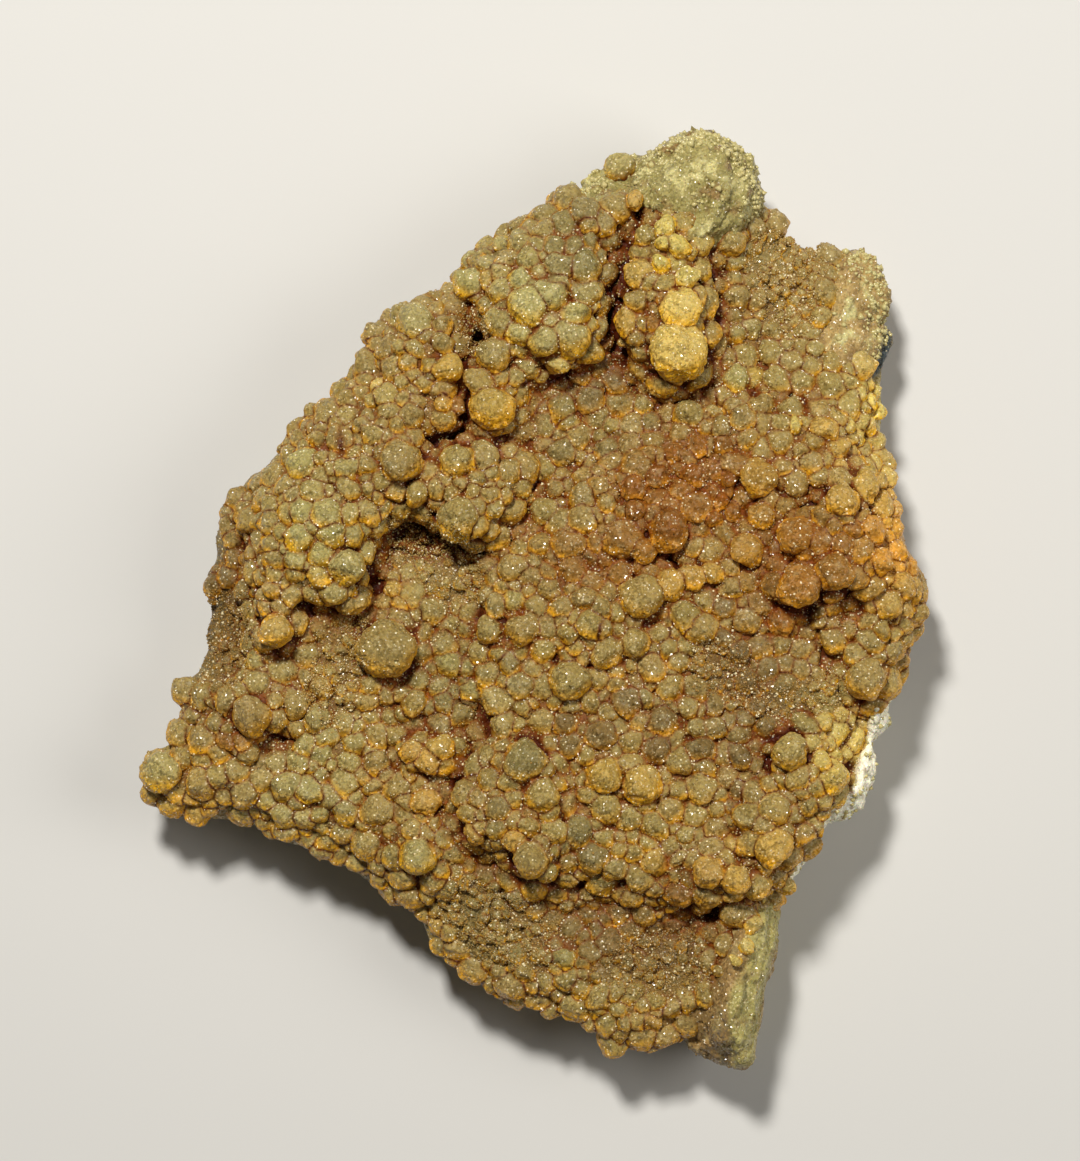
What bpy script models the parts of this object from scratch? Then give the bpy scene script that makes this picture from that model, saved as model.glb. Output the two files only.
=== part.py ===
"""A broken slab of botryoidal talc, grape-like globules on a thin bed of matrix.

The slab lies on its back with the globules up. Lengths are in metres, and +Y is
the pointed end. Places on the face are read in millimetres to the right of and
below the corner of a survey sheet, which face_place() turns into x and y.
"""

import bmesh
import bpy
import numpy as np
from mathutils import Matrix, Vector, noise

NAME = "talc_specimen"
MM = 0.001

# The slab as a whole
SURVEY_CENTRE = (53.21, 59.56)
BED_TOP = 12.6 * MM
RIM_DROP = 4.2 * MM
RIM_WIDTH = 6.0 * MM
BACK_TAPER = 0.075
SIDE_ROUGHNESS = 1.1 * MM
SIDE_GRAIN = 7.0 * MM
BACK_ROUGHNESS = 0.9 * MM
BACK_GRAIN = 16.0 * MM
BACK_SUNK = 0.55 * MM
SIDE_REACH = 2.0 * MM
CHIP_REACH = 7.0 * MM
CHIP_RISE = 3.2 * MM
BED_STOCK = 10.0 * MM

# How finely the solid is skinned
BED_VOXEL = 0.9 * MM
SKIN_VOXEL = 0.55 * MM
TRIANGLES = 9600

# How far a globule's centre stands over the bed, in radii
PROUD = 0.50
EVEN = 0.12
LOW = 0.05

# The low lumps that fill the gaps, in survey millimetres
FILL_SEED = 11
FILL_TRIES = 9000
FILL_ACROSS = (13.0, 93.0)
FILL_DOWN = (12.0, 108.0)
FILL_RADIUS = (1.1, 2.0)
FILL_GAP = 0.88
FILL_MARGIN = 0.7 * MM

# The broken outline, clockwise from the pointed end
OUTLINE = (
    (68.6, 12.7), (71.6, 12.2), (75.6, 15.1), (76.0, 18.6), (76.5, 21.4), (80.2, 24.0),
    (83.4, 25.1), (86.6, 24.8), (88.8, 26.5), (89.7, 29.6), (89.0, 32.4), (89.3, 34.6),
    (88.1, 38.5), (88.4, 42.4), (87.8, 45.0), (89.4, 47.4), (89.2, 50.2), (90.2, 54.2),
    (92.4, 58.4), (92.4, 60.6), (91.8, 64.4), (89.3, 69.6), (88.8, 72.4), (87.5, 74.6),
    (87.4, 78.9), (84.6, 82.1), (82.6, 82.9), (81.0, 86.0), (78.3, 89.8), (77.4, 95.0),
    (75.9, 102.4), (75.2, 106.8), (73.9, 107.0), (73.4, 105.9), (72.4, 107.0),
    (68.9, 104.7), (68.2, 103.6), (67.4, 104.9), (62.0, 105.0), (57.5, 102.0),
    (52.0, 100.2), (46.0, 96.2), (43.4, 94.0), (41.8, 91.0), (37.6, 88.2), (34.0, 85.6),
    (30.2, 84.2), (25.6, 82.4), (19.0, 81.2), (16.0, 79.6), (15.6, 76.4), (17.4, 75.2),
    (17.4, 72.4), (18.4, 68.6), (20.4, 66.4), (20.9, 60.0), (21.8, 55.4), (22.6, 51.0),
    (26.2, 48.0), (28.9, 44.0), (31.6, 41.2), (34.4, 38.6), (37.0, 36.0), (37.6, 33.2),
    (40.6, 30.6), (45.6, 28.8), (47.6, 25.8), (51.4, 23.0), (55.6, 19.9), (58.6, 17.0),
    (61.4, 15.1), (63.6, 15.0), (65.6, 15.0),
)

# Masses with steep edges: a height, the width of the slope and an outline
TERRACES = (
    (3.4, 1.5, (
        (37.0, 34.4), (41.0, 31.0), (46.0, 28.8), (48.0, 25.8), (52.0, 23.0), (58.0, 18.0),
        (62.8, 20.3), (60.5, 24.5), (61.2, 28.4), (60.0, 31.0), (60.0, 34.8), (57.6, 36.4),
        (53.6, 37.4), (51.6, 35.8), (49.4, 34.4), (48.6, 31.6), (46.8, 30.2), (45.6, 31.4),
        (46.2, 34.6), (46.2, 38.0), (45.4, 42.4), (43.0, 44.0), (42.6, 45.6), (44.4, 45.0),
        (47.0, 44.4), (50.5, 45.6), (52.5, 48.4), (50.6, 51.4), (49.4, 53.6), (47.4, 54.0),
        (45.0, 53.4), (43.4, 51.4), (40.4, 50.6), (38.6, 51.2), (37.0, 53.4), (36.6, 57.0),
        (36.0, 59.8), (34.0, 60.2), (31.6, 59.4), (29.6, 60.4), (29.2, 63.4), (27.4, 64.6),
        (26.0, 63.0), (26.6, 58.0), (26.0, 52.0), (27.0, 49.0), (28.6, 45.0), (31.0, 41.6),
        (35.0, 38.0), (36.6, 35.6),
    )),
    (3.0, 1.0, (
        (47.2, 36.0), (49.0, 34.6), (51.0, 35.6), (52.2, 38.0), (51.4, 41.6), (49.8, 43.4),
        (47.6, 42.8), (46.8, 40.0),
    )),
    (3.4, 1.2, (
        (64.0, 23.0), (66.8, 21.8), (69.4, 23.6), (69.8, 26.6), (70.4, 29.4), (70.6, 34.0),
        (69.6, 38.0), (67.0, 38.6), (64.8, 36.4), (62.6, 34.2), (61.6, 32.0), (62.6, 29.0),
        (64.2, 26.0),
    )),
    (3.0, 1.0, (
        (64.0, 16.5), (69.0, 12.7), (75.7, 15.5), (76.0, 20.0), (73.5, 23.5), (70.5, 25.2),
        (67.5, 21.8), (65.0, 21.2), (62.8, 20.3),
    )),
    (2.0, 1.8, (
        (50.5, 56.0), (56.0, 52.0), (62.0, 46.0), (74.0, 40.0), (84.0, 42.0), (86.0, 56.0),
        (84.0, 70.0), (83.0, 82.0), (79.0, 88.4), (76.0, 89.6), (70.5, 89.6), (66.5, 90.4),
        (63.0, 89.6), (59.6, 87.2), (56.0, 88.0), (52.8, 88.2), (50.0, 85.0), (46.8, 83.4),
        (46.0, 79.6), (48.4, 77.2), (49.6, 72.0), (48.0, 66.0), (48.6, 60.6),
    )),
    (2.2, 1.2, (
        (85.0, 47.0), (88.6, 47.2), (89.0, 51.0), (91.0, 56.6), (92.0, 60.0), (90.2, 64.0),
        (89.6, 67.6), (87.6, 70.2), (85.0, 69.0), (84.6, 66.4), (86.0, 63.6), (86.6, 60.8),
        (86.0, 58.0), (83.8, 59.2), (81.6, 58.0), (78.6, 60.6), (77.4, 58.8), (78.8, 56.0),
        (79.6, 52.6), (82.6, 51.0), (83.6, 48.8),
    )),
    (1.8, 1.2, (
        (77.8, 73.6), (80.6, 74.0), (83.6, 76.6), (82.8, 79.8), (81.6, 83.0), (79.4, 84.8),
        (77.6, 87.6), (75.4, 86.2), (73.6, 82.4), (74.2, 80.4), (77.0, 78.0),
    )),
    (1.6, 0.9, ((69.4, 85.6), (73.6, 85.4), (75.8, 88.4), (74.2, 89.6), (69.8, 89.4))),
    (1.8, 0.8, ((40.2, 74.0), (45.0, 73.4), (45.8, 76.4), (42.0, 77.4), (40.4, 76.4))),
    (1.6, 1.0, (
        (46.2, 79.6), (48.4, 76.4), (52.6, 74.6), (55.6, 77.0), (56.0, 80.6), (55.6, 86.2),
        (54.6, 88.0), (52.4, 87.4), (50.8, 84.8), (47.6, 84.2), (46.0, 82.0),
    )),
    (3.2, 1.4, (
        (73.4, 91.0), (77.6, 90.4), (77.4, 95.0), (75.6, 104.0), (75.0, 106.8), (73.8, 107.0),
        (72.0, 104.0), (71.6, 100.4), (72.6, 95.6),
    )),
)

# Rounded swells and hollows: across, down, two reaches and a height
SWELLS = (
    (55.2, 31.6, 5.0, 5.2, 1.8),
    (42.5, 34.5, 4.5, 4.0, 1.0),
    (40.0, 45.6, 4.4, 5.4, 1.4),
    (46.6, 50.0, 4.4, 4.8, 1.0),
    (32.6, 53.6, 4.4, 5.0, 1.8),
    (25.2, 71.0, 3.8, 3.2, 2.0),
    (66.4, 30.4, 3.6, 6.0, 1.2),
    (71.5, 17.0, 6.0, 5.5, 1.6),
    (62.0, 52.0, 13.0, 10.0, 1.0),
    (59.0, 62.0, 3.4, 3.4, 1.6),
    (38.4, 65.4, 3.6, 3.6, 1.0),
    (86.6, 54.0, 4.8, 7.0, 1.2),
    (60.0, 74.0, 10.0, 10.0, 0.8),
    (42.6, 84.6, 3.4, 4.4, 1.8),
)
HOLLOWS = (
    (42.0, 54.4, 4.6, 2.4, -2.0),
    (36.8, 57.6, 1.2, 3.6, -2.4),
    (47.0, 33.0, 1.6, 2.8, -3.2),
    (43.8, 43.8, 1.8, 1.3, -3.0),
    (61.2, 31.6, 1.3, 4.0, -3.4),
    (30.8, 60.6, 2.6, 1.2, -2.2),
    (27.8, 74.0, 2.0, 1.5, -2.6),
    (70.6, 91.8, 4.8, 2.4, -2.8),
    (56.0, 92.6, 9.0, 5.0, -1.4),
    (66.4, 97.0, 4.6, 5.4, -1.6),
    (66.9, 56.0, 1.1, 0.9, -3.4),
    (80.6, 64.6, 3.4, 3.4, -1.4),
    (83.6, 66.4, 1.5, 1.4, -2.2),
    (81.0, 30.4, 6.0, 5.0, -1.6),
    (49.0, 85.4, 2.0, 1.2, -1.8),
    (23.0, 63.0, 3.0, 8.0, -1.6),
)

# Where the rock broke across and no globule grew
BROKEN_FACES = (
    ((63.6, 16.5), (69.0, 12.2), (76.4, 15.2), (76.4, 20.4), (73.5, 23.8), (70.3, 25.2),
     (67.4, 21.6), (64.6, 21.2), (62.6, 20.3)),
    ((82.8, 26.0), (88.0, 26.0), (88.8, 33.0), (86.0, 36.4), (82.6, 35.2), (81.6, 32.0)),
    ((87.4, 70.2), (90.2, 69.0), (88.8, 73.6), (87.8, 78.5), (83.6, 83.4), (80.0, 88.6),
     (80.6, 83.4), (84.0, 79.6), (86.0, 76.0)),
    ((69.4, 99.6), (72.4, 96.6), (78.6, 90.0), (76.6, 104.0), (75.4, 107.6), (69.0, 104.6)),
)

# Globules that stand clear of the crust: across, down and radius
PROUD_GLOBULES = (
    (67.6, 35.4, 2.75), (68.0, 31.5, 1.90), (62.8, 32.3, 1.55), (63.8, 27.6, 1.50),
    (67.3, 24.4, 1.35), (68.5, 28.3, 1.20), (41.7, 32.4, 1.75), (47.0, 28.4, 1.65),
    (45.0, 37.2, 1.75), (49.4, 40.8, 2.20), (49.6, 35.8, 1.75), (48.2, 38.4, 1.60),
    (40.3, 46.2, 2.20), (45.8, 46.2, 1.85), (45.8, 52.0, 2.05), (47.6, 52.4, 1.55),
    (34.8, 56.6, 1.75), (39.2, 59.0, 1.00), (38.7, 65.2, 2.60), (41.4, 70.4, 1.40),
    (49.0, 62.8, 1.45), (52.3, 63.0, 1.65), (47.8, 76.7, 1.45), (42.5, 80.3, 1.35),
    (42.1, 85.2, 1.80), (54.0, 79.6, 1.80), (53.0, 85.6, 1.75), (54.7, 87.0, 0.95),
    (30.5, 46.5, 1.70), (27.8, 63.0, 1.65), (25.2, 71.6, 1.85), (15.9, 77.4, 2.05),
    (66.7, 53.2, 1.95), (64.3, 55.2, 1.30), (67.0, 58.6, 1.55), (69.0, 57.8, 1.35),
    (71.1, 57.4, 1.15), (74.5, 55.0, 1.60), (64.2, 59.8, 2.10), (60.5, 77.3, 1.75),
    (64.1, 78.3, 1.95), (73.7, 87.7, 1.50), (70.8, 87.2, 1.50), (79.2, 41.2, 1.45),
    (75.8, 47.6, 1.65), (76.0, 51.6, 1.30), (86.2, 48.8, 1.65), (84.0, 50.4, 1.55),
    (86.8, 53.0, 1.75), (80.5, 54.0, 1.80), (87.6, 56.0, 1.45), (83.0, 57.3, 1.75),
    (79.7, 58.8, 1.95), (86.4, 68.0, 1.80), (88.2, 68.2, 1.60), (78.8, 75.0, 1.85),
    (77.1, 84.4, 1.75), (80.0, 83.2, 1.50), (75.0, 81.8, 1.60), (64.3, 91.4, 1.40),
    (73.8, 37.8, 1.35), (68.9, 41.9, 1.45), (81.6, 61.6, 0.95),
)

# Globules sunk about half way in their neighbours: across, down and radius
EVEN_GLOBULES = (
    (52.0, 28.5, 1.5), (53.6, 31.0, 2.2), (56.6, 30.0, 2.2), (58.3, 27.2, 1.9),
    (57.5, 33.5, 2.4), (54.5, 34.6, 1.9), (52.3, 33.6, 1.5), (50.0, 30.2, 1.4),
    (44.4, 34.2, 1.4), (43.4, 30.3, 1.2), (38.1, 33.6, 1.7), (47.5, 26.3, 1.3),
    (49.0, 26.8, 1.3), (40.0, 43.9, 1.4), (37.4, 43.8, 1.4), (44.0, 43.0, 1.3),
    (46.8, 44.6, 1.4), (52.0, 47.2, 1.8), (41.9, 49.3, 1.4), (54.5, 51.3, 1.5),
    (52.0, 53.0, 1.2), (49.8, 55.0, 1.3), (35.2, 40.4, 1.4), (34.1, 44.0, 1.5),
    (35.0, 48.9, 1.2), (30.0, 43.3, 1.3), (29.1, 48.8, 1.5), (31.6, 49.6, 1.3),
    (26.8, 50.3, 1.4), (27.4, 53.2, 1.3), (27.8, 56.0, 1.3), (28.3, 60.4, 1.2),
    (23.7, 50.3, 1.3), (22.9, 52.7, 1.3), (25.0, 56.1, 1.2), (21.7, 58.6, 1.3),
    (24.5, 59.0, 1.3), (30.5, 51.7, 1.3), (33.0, 51.7, 1.6), (30.3, 53.9, 1.5),
    (33.6, 53.7, 1.5), (35.1, 52.4, 1.4), (30.0, 56.1, 1.3), (32.2, 57.3, 1.4),
    (33.6, 59.0, 1.4), (38.2, 54.1, 1.2), (45.2, 66.4, 1.5), (47.6, 68.8, 1.4),
    (51.0, 66.2, 1.4), (51.8, 68.5, 1.5), (54.6, 65.0, 1.4), (41.4, 75.3, 1.3),
    (43.0, 76.0, 1.4), (44.4, 75.0, 1.5), (52.5, 76.0, 2.0), (50.0, 73.5, 1.6),
    (43.5, 87.6, 1.5), (44.8, 89.0, 1.3), (47.5, 82.0, 1.5), (49.8, 80.9, 1.7),
    (50.2, 82.7, 1.4), (51.0, 79.0, 1.5), (53.0, 82.4, 1.3), (20.6, 74.0, 1.5),
    (18.6, 69.4, 1.4), (18.3, 73.3, 1.5), (20.0, 78.5, 1.6), (25.8, 66.0, 1.3),
    (31.9, 68.8, 1.3), (31.8, 72.0, 1.5), (31.0, 79.0, 1.4), (34.5, 81.2, 1.6),
    (35.8, 86.0, 1.4), (28.4, 82.8, 1.3), (56.3, 41.0, 1.7), (59.0, 40.0, 1.3),
    (58.0, 37.5, 1.4), (61.3, 37.8, 1.4), (65.2, 42.4, 1.3), (69.3, 39.7, 1.2),
    (74.2, 42.0, 1.3), (60.8, 45.2, 1.3), (56.0, 45.6, 1.5), (58.4, 49.6, 1.6),
    (65.7, 47.8, 1.4), (69.2, 47.6, 1.3), (63.3, 49.2, 1.4), (69.6, 50.8, 1.6),
    (62.2, 54.3, 1.9), (56.8, 54.8, 1.6), (74.8, 58.3, 1.3), (68.3, 61.6, 1.7),
    (70.1, 62.8, 1.7), (73.8, 65.2, 1.3), (74.5, 62.0, 1.4), (56.4, 60.8, 1.3),
    (58.6, 60.0, 1.4), (60.1, 61.4, 1.4), (58.8, 62.8, 1.5), (57.0, 64.4, 1.4),
    (60.5, 65.0, 1.8), (63.4, 64.4, 1.6), (65.2, 66.8, 1.5), (56.7, 67.9, 1.9),
    (67.2, 69.0, 1.5), (74.5, 68.0, 1.4), (59.0, 70.3, 1.3), (56.7, 72.2, 1.3),
    (57.0, 74.5, 1.3), (60.0, 73.5, 1.7), (62.9, 70.1, 1.7), (66.0, 71.8, 1.7),
    (69.5, 72.7, 1.4), (65.2, 75.2, 1.5), (70.0, 75.2, 1.8), (69.8, 78.8, 1.7),
    (66.9, 80.8, 1.3), (60.6, 80.5, 1.7), (57.9, 83.1, 1.7), (59.2, 85.6, 1.7),
    (65.5, 82.6, 1.4), (65.5, 85.9, 1.6), (71.0, 84.6, 1.4), (73.3, 84.5, 1.4),
    (73.6, 79.7, 1.3), (82.2, 43.0, 1.4), (83.5, 45.0, 1.5), (78.0, 44.4, 1.5),
    (78.1, 46.7, 1.3), (79.5, 48.5, 1.3), (78.5, 50.7, 1.3), (82.2, 52.0, 1.3),
    (89.0, 51.6, 1.4), (90.6, 57.2, 1.3), (77.8, 62.0, 1.6), (84.8, 63.0, 1.5),
    (83.2, 64.2, 1.4), (80.0, 65.2, 1.6), (88.4, 60.6, 1.5), (90.0, 62.6, 1.3),
    (89.0, 65.1, 1.5), (84.6, 72.4, 1.4), (85.0, 74.2, 1.4), (80.1, 72.4, 1.6),
    (79.6, 77.6, 1.4), (82.8, 77.8, 1.8), (77.2, 80.2, 1.6), (51.3, 95.4, 1.4),
    (56.4, 95.6, 1.3), (67.6, 95.4, 1.5), (65.6, 100.2, 1.5), (66.9, 101.3, 1.3),
    (58.5, 21.6, 1.5), (60.7, 24.1, 1.4), (61.3, 26.2, 1.4), (73.5, 26.3, 1.3),
)


def remove_startup_objects():
    """Empties the scene."""
    for thing in list(bpy.data.objects):
        bpy.data.objects.remove(thing, do_unlink=True)


def face_place(across, down):
    """Turns survey millimetres into x and y on the slab."""
    return (across - SURVEY_CENTRE[0]) * MM, (SURVEY_CENTRE[1] - down) * MM


def outline_points():
    """The outline as x and y, anticlockwise."""
    return [face_place(*point) for point in reversed(OUTLINE)]


def depth_inside(x, y, ring):
    """How far points lie inside a ring, below zero outside it."""
    ring = np.array(ring)
    after = np.roll(ring, -1, axis=0) - ring
    nearest = np.full(len(x), np.inf)
    inside = np.zeros(len(x), dtype=bool)
    for start, run in zip(ring, after):
        from_start = np.stack([x, y], 1) - start
        along = np.clip(from_start @ run / (run @ run), 0, 1)
        gap = np.hypot(*(from_start - along[:, None] * run).T)
        nearest = np.minimum(nearest, gap)
        if run[1] == 0:
            continue
        share = from_start[:, 1] / run[1]
        inside ^= (share >= 0) & (share < 1) & (from_start[:, 0] < share * run[0])
    return np.where(inside, nearest, -nearest)


def placed_ring(ring):
    """A ring of survey places as x and y on the slab."""
    return [face_place(*point) for point in ring]


def bed_height(x, y):
    """The height of the bed under the globules."""
    height = np.full(len(x), BED_TOP)
    for rise, slope, ring in TERRACES:
        deep = depth_inside(x, y, placed_ring(ring)) / (slope * MM)
        share = np.clip(0.5 + 0.5 * deep, 0, 1)
        height += rise * MM * share * share * (3 - 2 * share)
    for across, down, reach_x, reach_y, rise in SWELLS + HOLLOWS:
        centre_x, centre_y = face_place(across, down)
        spread = ((x - centre_x) / (reach_x * MM)) ** 2
        spread += ((y - centre_y) / (reach_y * MM)) ** 2
        height += rise * MM * np.exp(-spread)
    from_rim = np.abs(depth_inside(x, y, outline_points()))
    near_rim = np.clip(1 - from_rim / RIM_WIDTH, 0, 1)
    return height - RIM_DROP * near_rim**2


def fill_globules():
    """Low lumps in the gaps that the named globules leave, on unbroken crust."""
    chance = np.random.default_rng(FILL_SEED)
    across = chance.uniform(*FILL_ACROSS, FILL_TRIES)
    down = chance.uniform(*FILL_DOWN, FILL_TRIES)
    radius = chance.uniform(*FILL_RADIUS, FILL_TRIES)
    x, y = face_place(across, down)
    free = depth_inside(x, y, outline_points()) > FILL_MARGIN
    for ring in BROKEN_FACES:
        free &= depth_inside(x, y, placed_ring(ring)) < 0
    taken = list(PROUD_GLOBULES + EVEN_GLOBULES)
    made = []
    for row in np.stack([across, down, radius], 1)[free]:
        near = np.array(taken + made)
        gaps = np.hypot(*(near[:, :2] - row[:2]).T)
        if np.all(gaps > FILL_GAP * (near[:, 2] + row[2])):
            made.append(tuple(row))
    return made


def plain_material():
    """Honey-brown talc as a plain material."""
    material = bpy.data.materials.new("Honey talc")
    material.use_nodes = True
    shader = material.node_tree.nodes["Principled BSDF"]
    shader.inputs["Base Color"].default_value = (0.36, 0.22, 0.08, 1)
    shader.inputs["Roughness"].default_value = 0.55
    shader.inputs["Metallic"].default_value = 0
    return material


def link_to(collection, name, mesh):
    """A new object of this mesh in a collection."""
    made = bpy.data.objects.new(name, mesh)
    collection.objects.link(made)
    return made


def evaluated_mesh(source):
    """The mesh of an object with its modifiers applied."""
    graph = bpy.context.evaluated_depsgraph_get()
    return bpy.data.meshes.new_from_object(source.evaluated_get(graph))


def bed_stock(collection):
    """The outline as an evenly meshed plate, before it is given its relief."""
    curve = bpy.data.curves.new("outline", "CURVE")
    curve.dimensions = "2D"
    curve.fill_mode = "BOTH"
    curve.extrude = BED_STOCK / 2
    spline = curve.splines.new("POLY")
    points = outline_points()
    spline.points.add(len(points) - 1)
    for point, (x, y) in zip(spline.points, points):
        point.co = (x, y, 0, 1)
    spline.use_cyclic_u = True
    plate = link_to(collection, "plate", curve)
    flat = evaluated_mesh(plate)
    bpy.data.objects.remove(plate, do_unlink=True)
    form = bmesh.new()
    form.from_mesh(flat)
    bmesh.ops.remove_doubles(form, verts=form.verts, dist=0.01 * MM)
    bmesh.ops.translate(form, verts=form.verts, vec=(0, 0, BED_STOCK / 2))
    form.to_mesh(flat)
    form.free()
    stock = link_to(collection, "stock", flat)
    even = stock.modifiers.new("even mesh", "REMESH")
    even.mode = "VOXEL"
    even.voxel_size = BED_VOXEL
    bpy.context.view_layer.update()
    meshed = evaluated_mesh(stock)
    bpy.data.objects.remove(stock, do_unlink=True)
    return meshed


def shaped_bed(mesh):
    """Gives the plate its relief, its tapered rough sides and its broken back."""
    count = len(mesh.vertices)
    places = np.empty(count * 3)
    mesh.vertices.foreach_get("co", places)
    places = places.reshape(-1, 3)
    share = np.clip(places[:, 2] / BED_STOCK, 0, 1)
    top = bed_height(places[:, 0], places[:, 1])
    from_rim = np.abs(depth_inside(places[:, 0], places[:, 1], outline_points()))
    at_side = np.clip(1 - from_rim / SIDE_REACH, 0, 1)
    chipped = np.clip(1 - from_rim / CHIP_REACH, 0, 1) ** 2
    narrowing = 1 - BACK_TAPER * (1 - share) ** 1.5
    places[:, :2] *= narrowing[:, None]
    for index in range(count):
        spot = Vector(places[index])
        chip = noise.noise_vector(spot / SIDE_GRAIN) * SIDE_ROUGHNESS
        places[index, :2] += np.array(chip[:2]) * at_side[index] * (1.4 - share[index])
        dent = noise.noise(Vector((spot.x, spot.y, 7.0 * BACK_GRAIN)) / BACK_GRAIN)
        back = BACK_ROUGHNESS * dent - BACK_SUNK + CHIP_RISE * chipped[index] * (0.7 + dent)
        places[index, 2] = back + (top[index] - back) * share[index]
    mesh.vertices.foreach_set("co", places.ravel())
    mesh.update()
    return mesh


def add_globules(form, rows, rise):
    """Adds one icosphere per row, seated on the bed."""
    places = [face_place(across, down) for across, down, radius in rows]
    seats = bed_height(*np.array(places).T)
    for (x, y), seat, (across, down, radius) in zip(places, seats, rows):
        centre = Vector((x, y, seat + rise * radius * MM))
        turn = Matrix.Rotation(across + down, 4, "Z")
        bmesh.ops.create_icosphere(
            form, subdivisions=3, radius=radius * MM, matrix=Matrix.Translation(centre) @ turn
        )


def base_cutter(collection):
    """The block that cuts the back flat, so that the slab lies steady."""
    bpy.ops.mesh.primitive_cube_add(size=1)
    cutter = bpy.context.object
    cutter.name = "base cutter"
    cutter.dimensions = (120 * MM, 140 * MM, 20 * MM)
    cutter.location = (0, 0, -10 * MM)
    for holder in list(cutter.users_collection):
        holder.objects.unlink(cutter)
    collection.objects.link(cutter)
    cutter.hide_render = True
    cutter.display_type = "WIRE"
    return cutter


def triangle_count(mesh):
    """How many triangles the faces of a mesh come to."""
    return sum(len(face.vertices) - 2 for face in mesh.polygons)


def build():
    """The slab as one closed solid with a flat base."""
    remove_startup_objects()
    part = bpy.data.collections.new(NAME)
    cutters = bpy.data.collections.new("cutters")
    bpy.context.scene.collection.children.link(part)
    bpy.context.scene.collection.children.link(cutters)

    form = bmesh.new()
    form.from_mesh(shaped_bed(bed_stock(part)))
    add_globules(form, PROUD_GLOBULES, PROUD)
    add_globules(form, EVEN_GLOBULES, EVEN)
    add_globules(form, fill_globules(), LOW)
    lumps = bpy.data.meshes.new(NAME)
    form.to_mesh(lumps)
    form.free()

    specimen = link_to(part, NAME, lumps)
    specimen.data.materials.append(plain_material())
    skin = specimen.modifiers.new("one skin", "REMESH")
    skin.mode = "VOXEL"
    skin.voxel_size = SKIN_VOXEL
    bpy.context.view_layer.update()
    skinned = triangle_count(evaluated_mesh(specimen))
    thin = specimen.modifiers.new("fewer faces", "DECIMATE")
    thin.ratio = TRIANGLES / skinned
    flat = specimen.modifiers.new("flat base", "BOOLEAN")
    flat.operation = "DIFFERENCE"
    flat.object = base_cutter(cutters)


build()
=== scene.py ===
"""Looks of a broken slab of botryoidal talc: grape-like globules over a thin matrix.

Lengths are in metres unless a name says otherwise, with +Z out of the crust and +Y
towards the pale pointed end. Places on the face are read on a survey sheet, in
tenths of a millimetre to the right of and below its corner.
"""

import logging
from collections.abc import Iterator
from dataclasses import dataclass, field
from enum import Enum

import bmesh
import bpy
import numpy as np
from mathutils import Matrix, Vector

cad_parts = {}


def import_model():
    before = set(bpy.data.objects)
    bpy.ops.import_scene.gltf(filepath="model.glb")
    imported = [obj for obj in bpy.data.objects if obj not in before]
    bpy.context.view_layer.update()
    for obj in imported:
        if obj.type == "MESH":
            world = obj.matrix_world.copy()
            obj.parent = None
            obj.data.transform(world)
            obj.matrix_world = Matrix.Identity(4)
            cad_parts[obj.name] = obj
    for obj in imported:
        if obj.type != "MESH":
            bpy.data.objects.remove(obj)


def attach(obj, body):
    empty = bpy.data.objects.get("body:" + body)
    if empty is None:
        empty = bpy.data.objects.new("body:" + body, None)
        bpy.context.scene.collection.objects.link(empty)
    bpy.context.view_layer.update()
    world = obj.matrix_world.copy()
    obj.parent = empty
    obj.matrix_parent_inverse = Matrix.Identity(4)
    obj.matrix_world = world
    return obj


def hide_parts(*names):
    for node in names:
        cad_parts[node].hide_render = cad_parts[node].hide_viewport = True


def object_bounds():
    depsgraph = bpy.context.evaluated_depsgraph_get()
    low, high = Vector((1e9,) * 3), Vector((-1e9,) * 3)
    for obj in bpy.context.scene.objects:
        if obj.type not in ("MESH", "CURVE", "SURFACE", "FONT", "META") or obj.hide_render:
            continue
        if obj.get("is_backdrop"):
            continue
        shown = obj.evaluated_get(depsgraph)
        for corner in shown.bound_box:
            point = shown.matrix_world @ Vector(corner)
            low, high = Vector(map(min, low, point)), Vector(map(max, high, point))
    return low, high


LOG = logging.getLogger("talc")
MM = 0.001
NODE = "talc_specimen"
CELL_SHIFT = 64.0  # keeps the cell numbers of every pattern above zero

Array = np.ndarray
Ring = tuple[tuple[float, float], ...]
Socket = bpy.types.NodeSocket

BLEND = {"data_type": "RGBA"}


class Tint(Enum):
    """The body colours that a globule of this crust grows in, as sRGB hex."""

    HONEY = "968048"
    AMBER = "BA9444"
    LEMON = "D6BE66"
    ORANGE = "824608"
    PALE = "A2965C"
    GREY = "7C6E42"
    VIOLET = "68502E"
    RUST = "5C401C"
    GOLD = "E0A43C"
    SAND = "9E8850"


class Stand(Enum):
    """How far a globule's centre stands over the bed, in radii."""

    PROUD = 0.30
    HALF = -0.08


def linear(hex_colour: str) -> tuple[float, float, float, float]:
    """Turn an sRGB hex colour into linear RGBA.

    Args:
        hex_colour: six hex digits.

    Returns:
        The linear colour with an alpha of one.
    """
    parts = [int(hex_colour[i : i + 2], 16) / 255 for i in (0, 2, 4)]
    made = [p / 12.92 if p <= 0.04045 else ((p + 0.055) / 1.055) ** 2.4 for p in parts]
    return made[0], made[1], made[2], 1.0


def smooth(low: float, high: float, value: Array) -> Array:
    """Ease from 0 at low to 1 at high.

    Args:
        low: where the step starts.
        high: where the step ends.
        value: the numbers to ease.

    Returns:
        The eased share of each number.
    """
    share = np.clip((value - low) / (high - low), 0, 1)
    return share * share * (3 - 2 * share)


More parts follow.
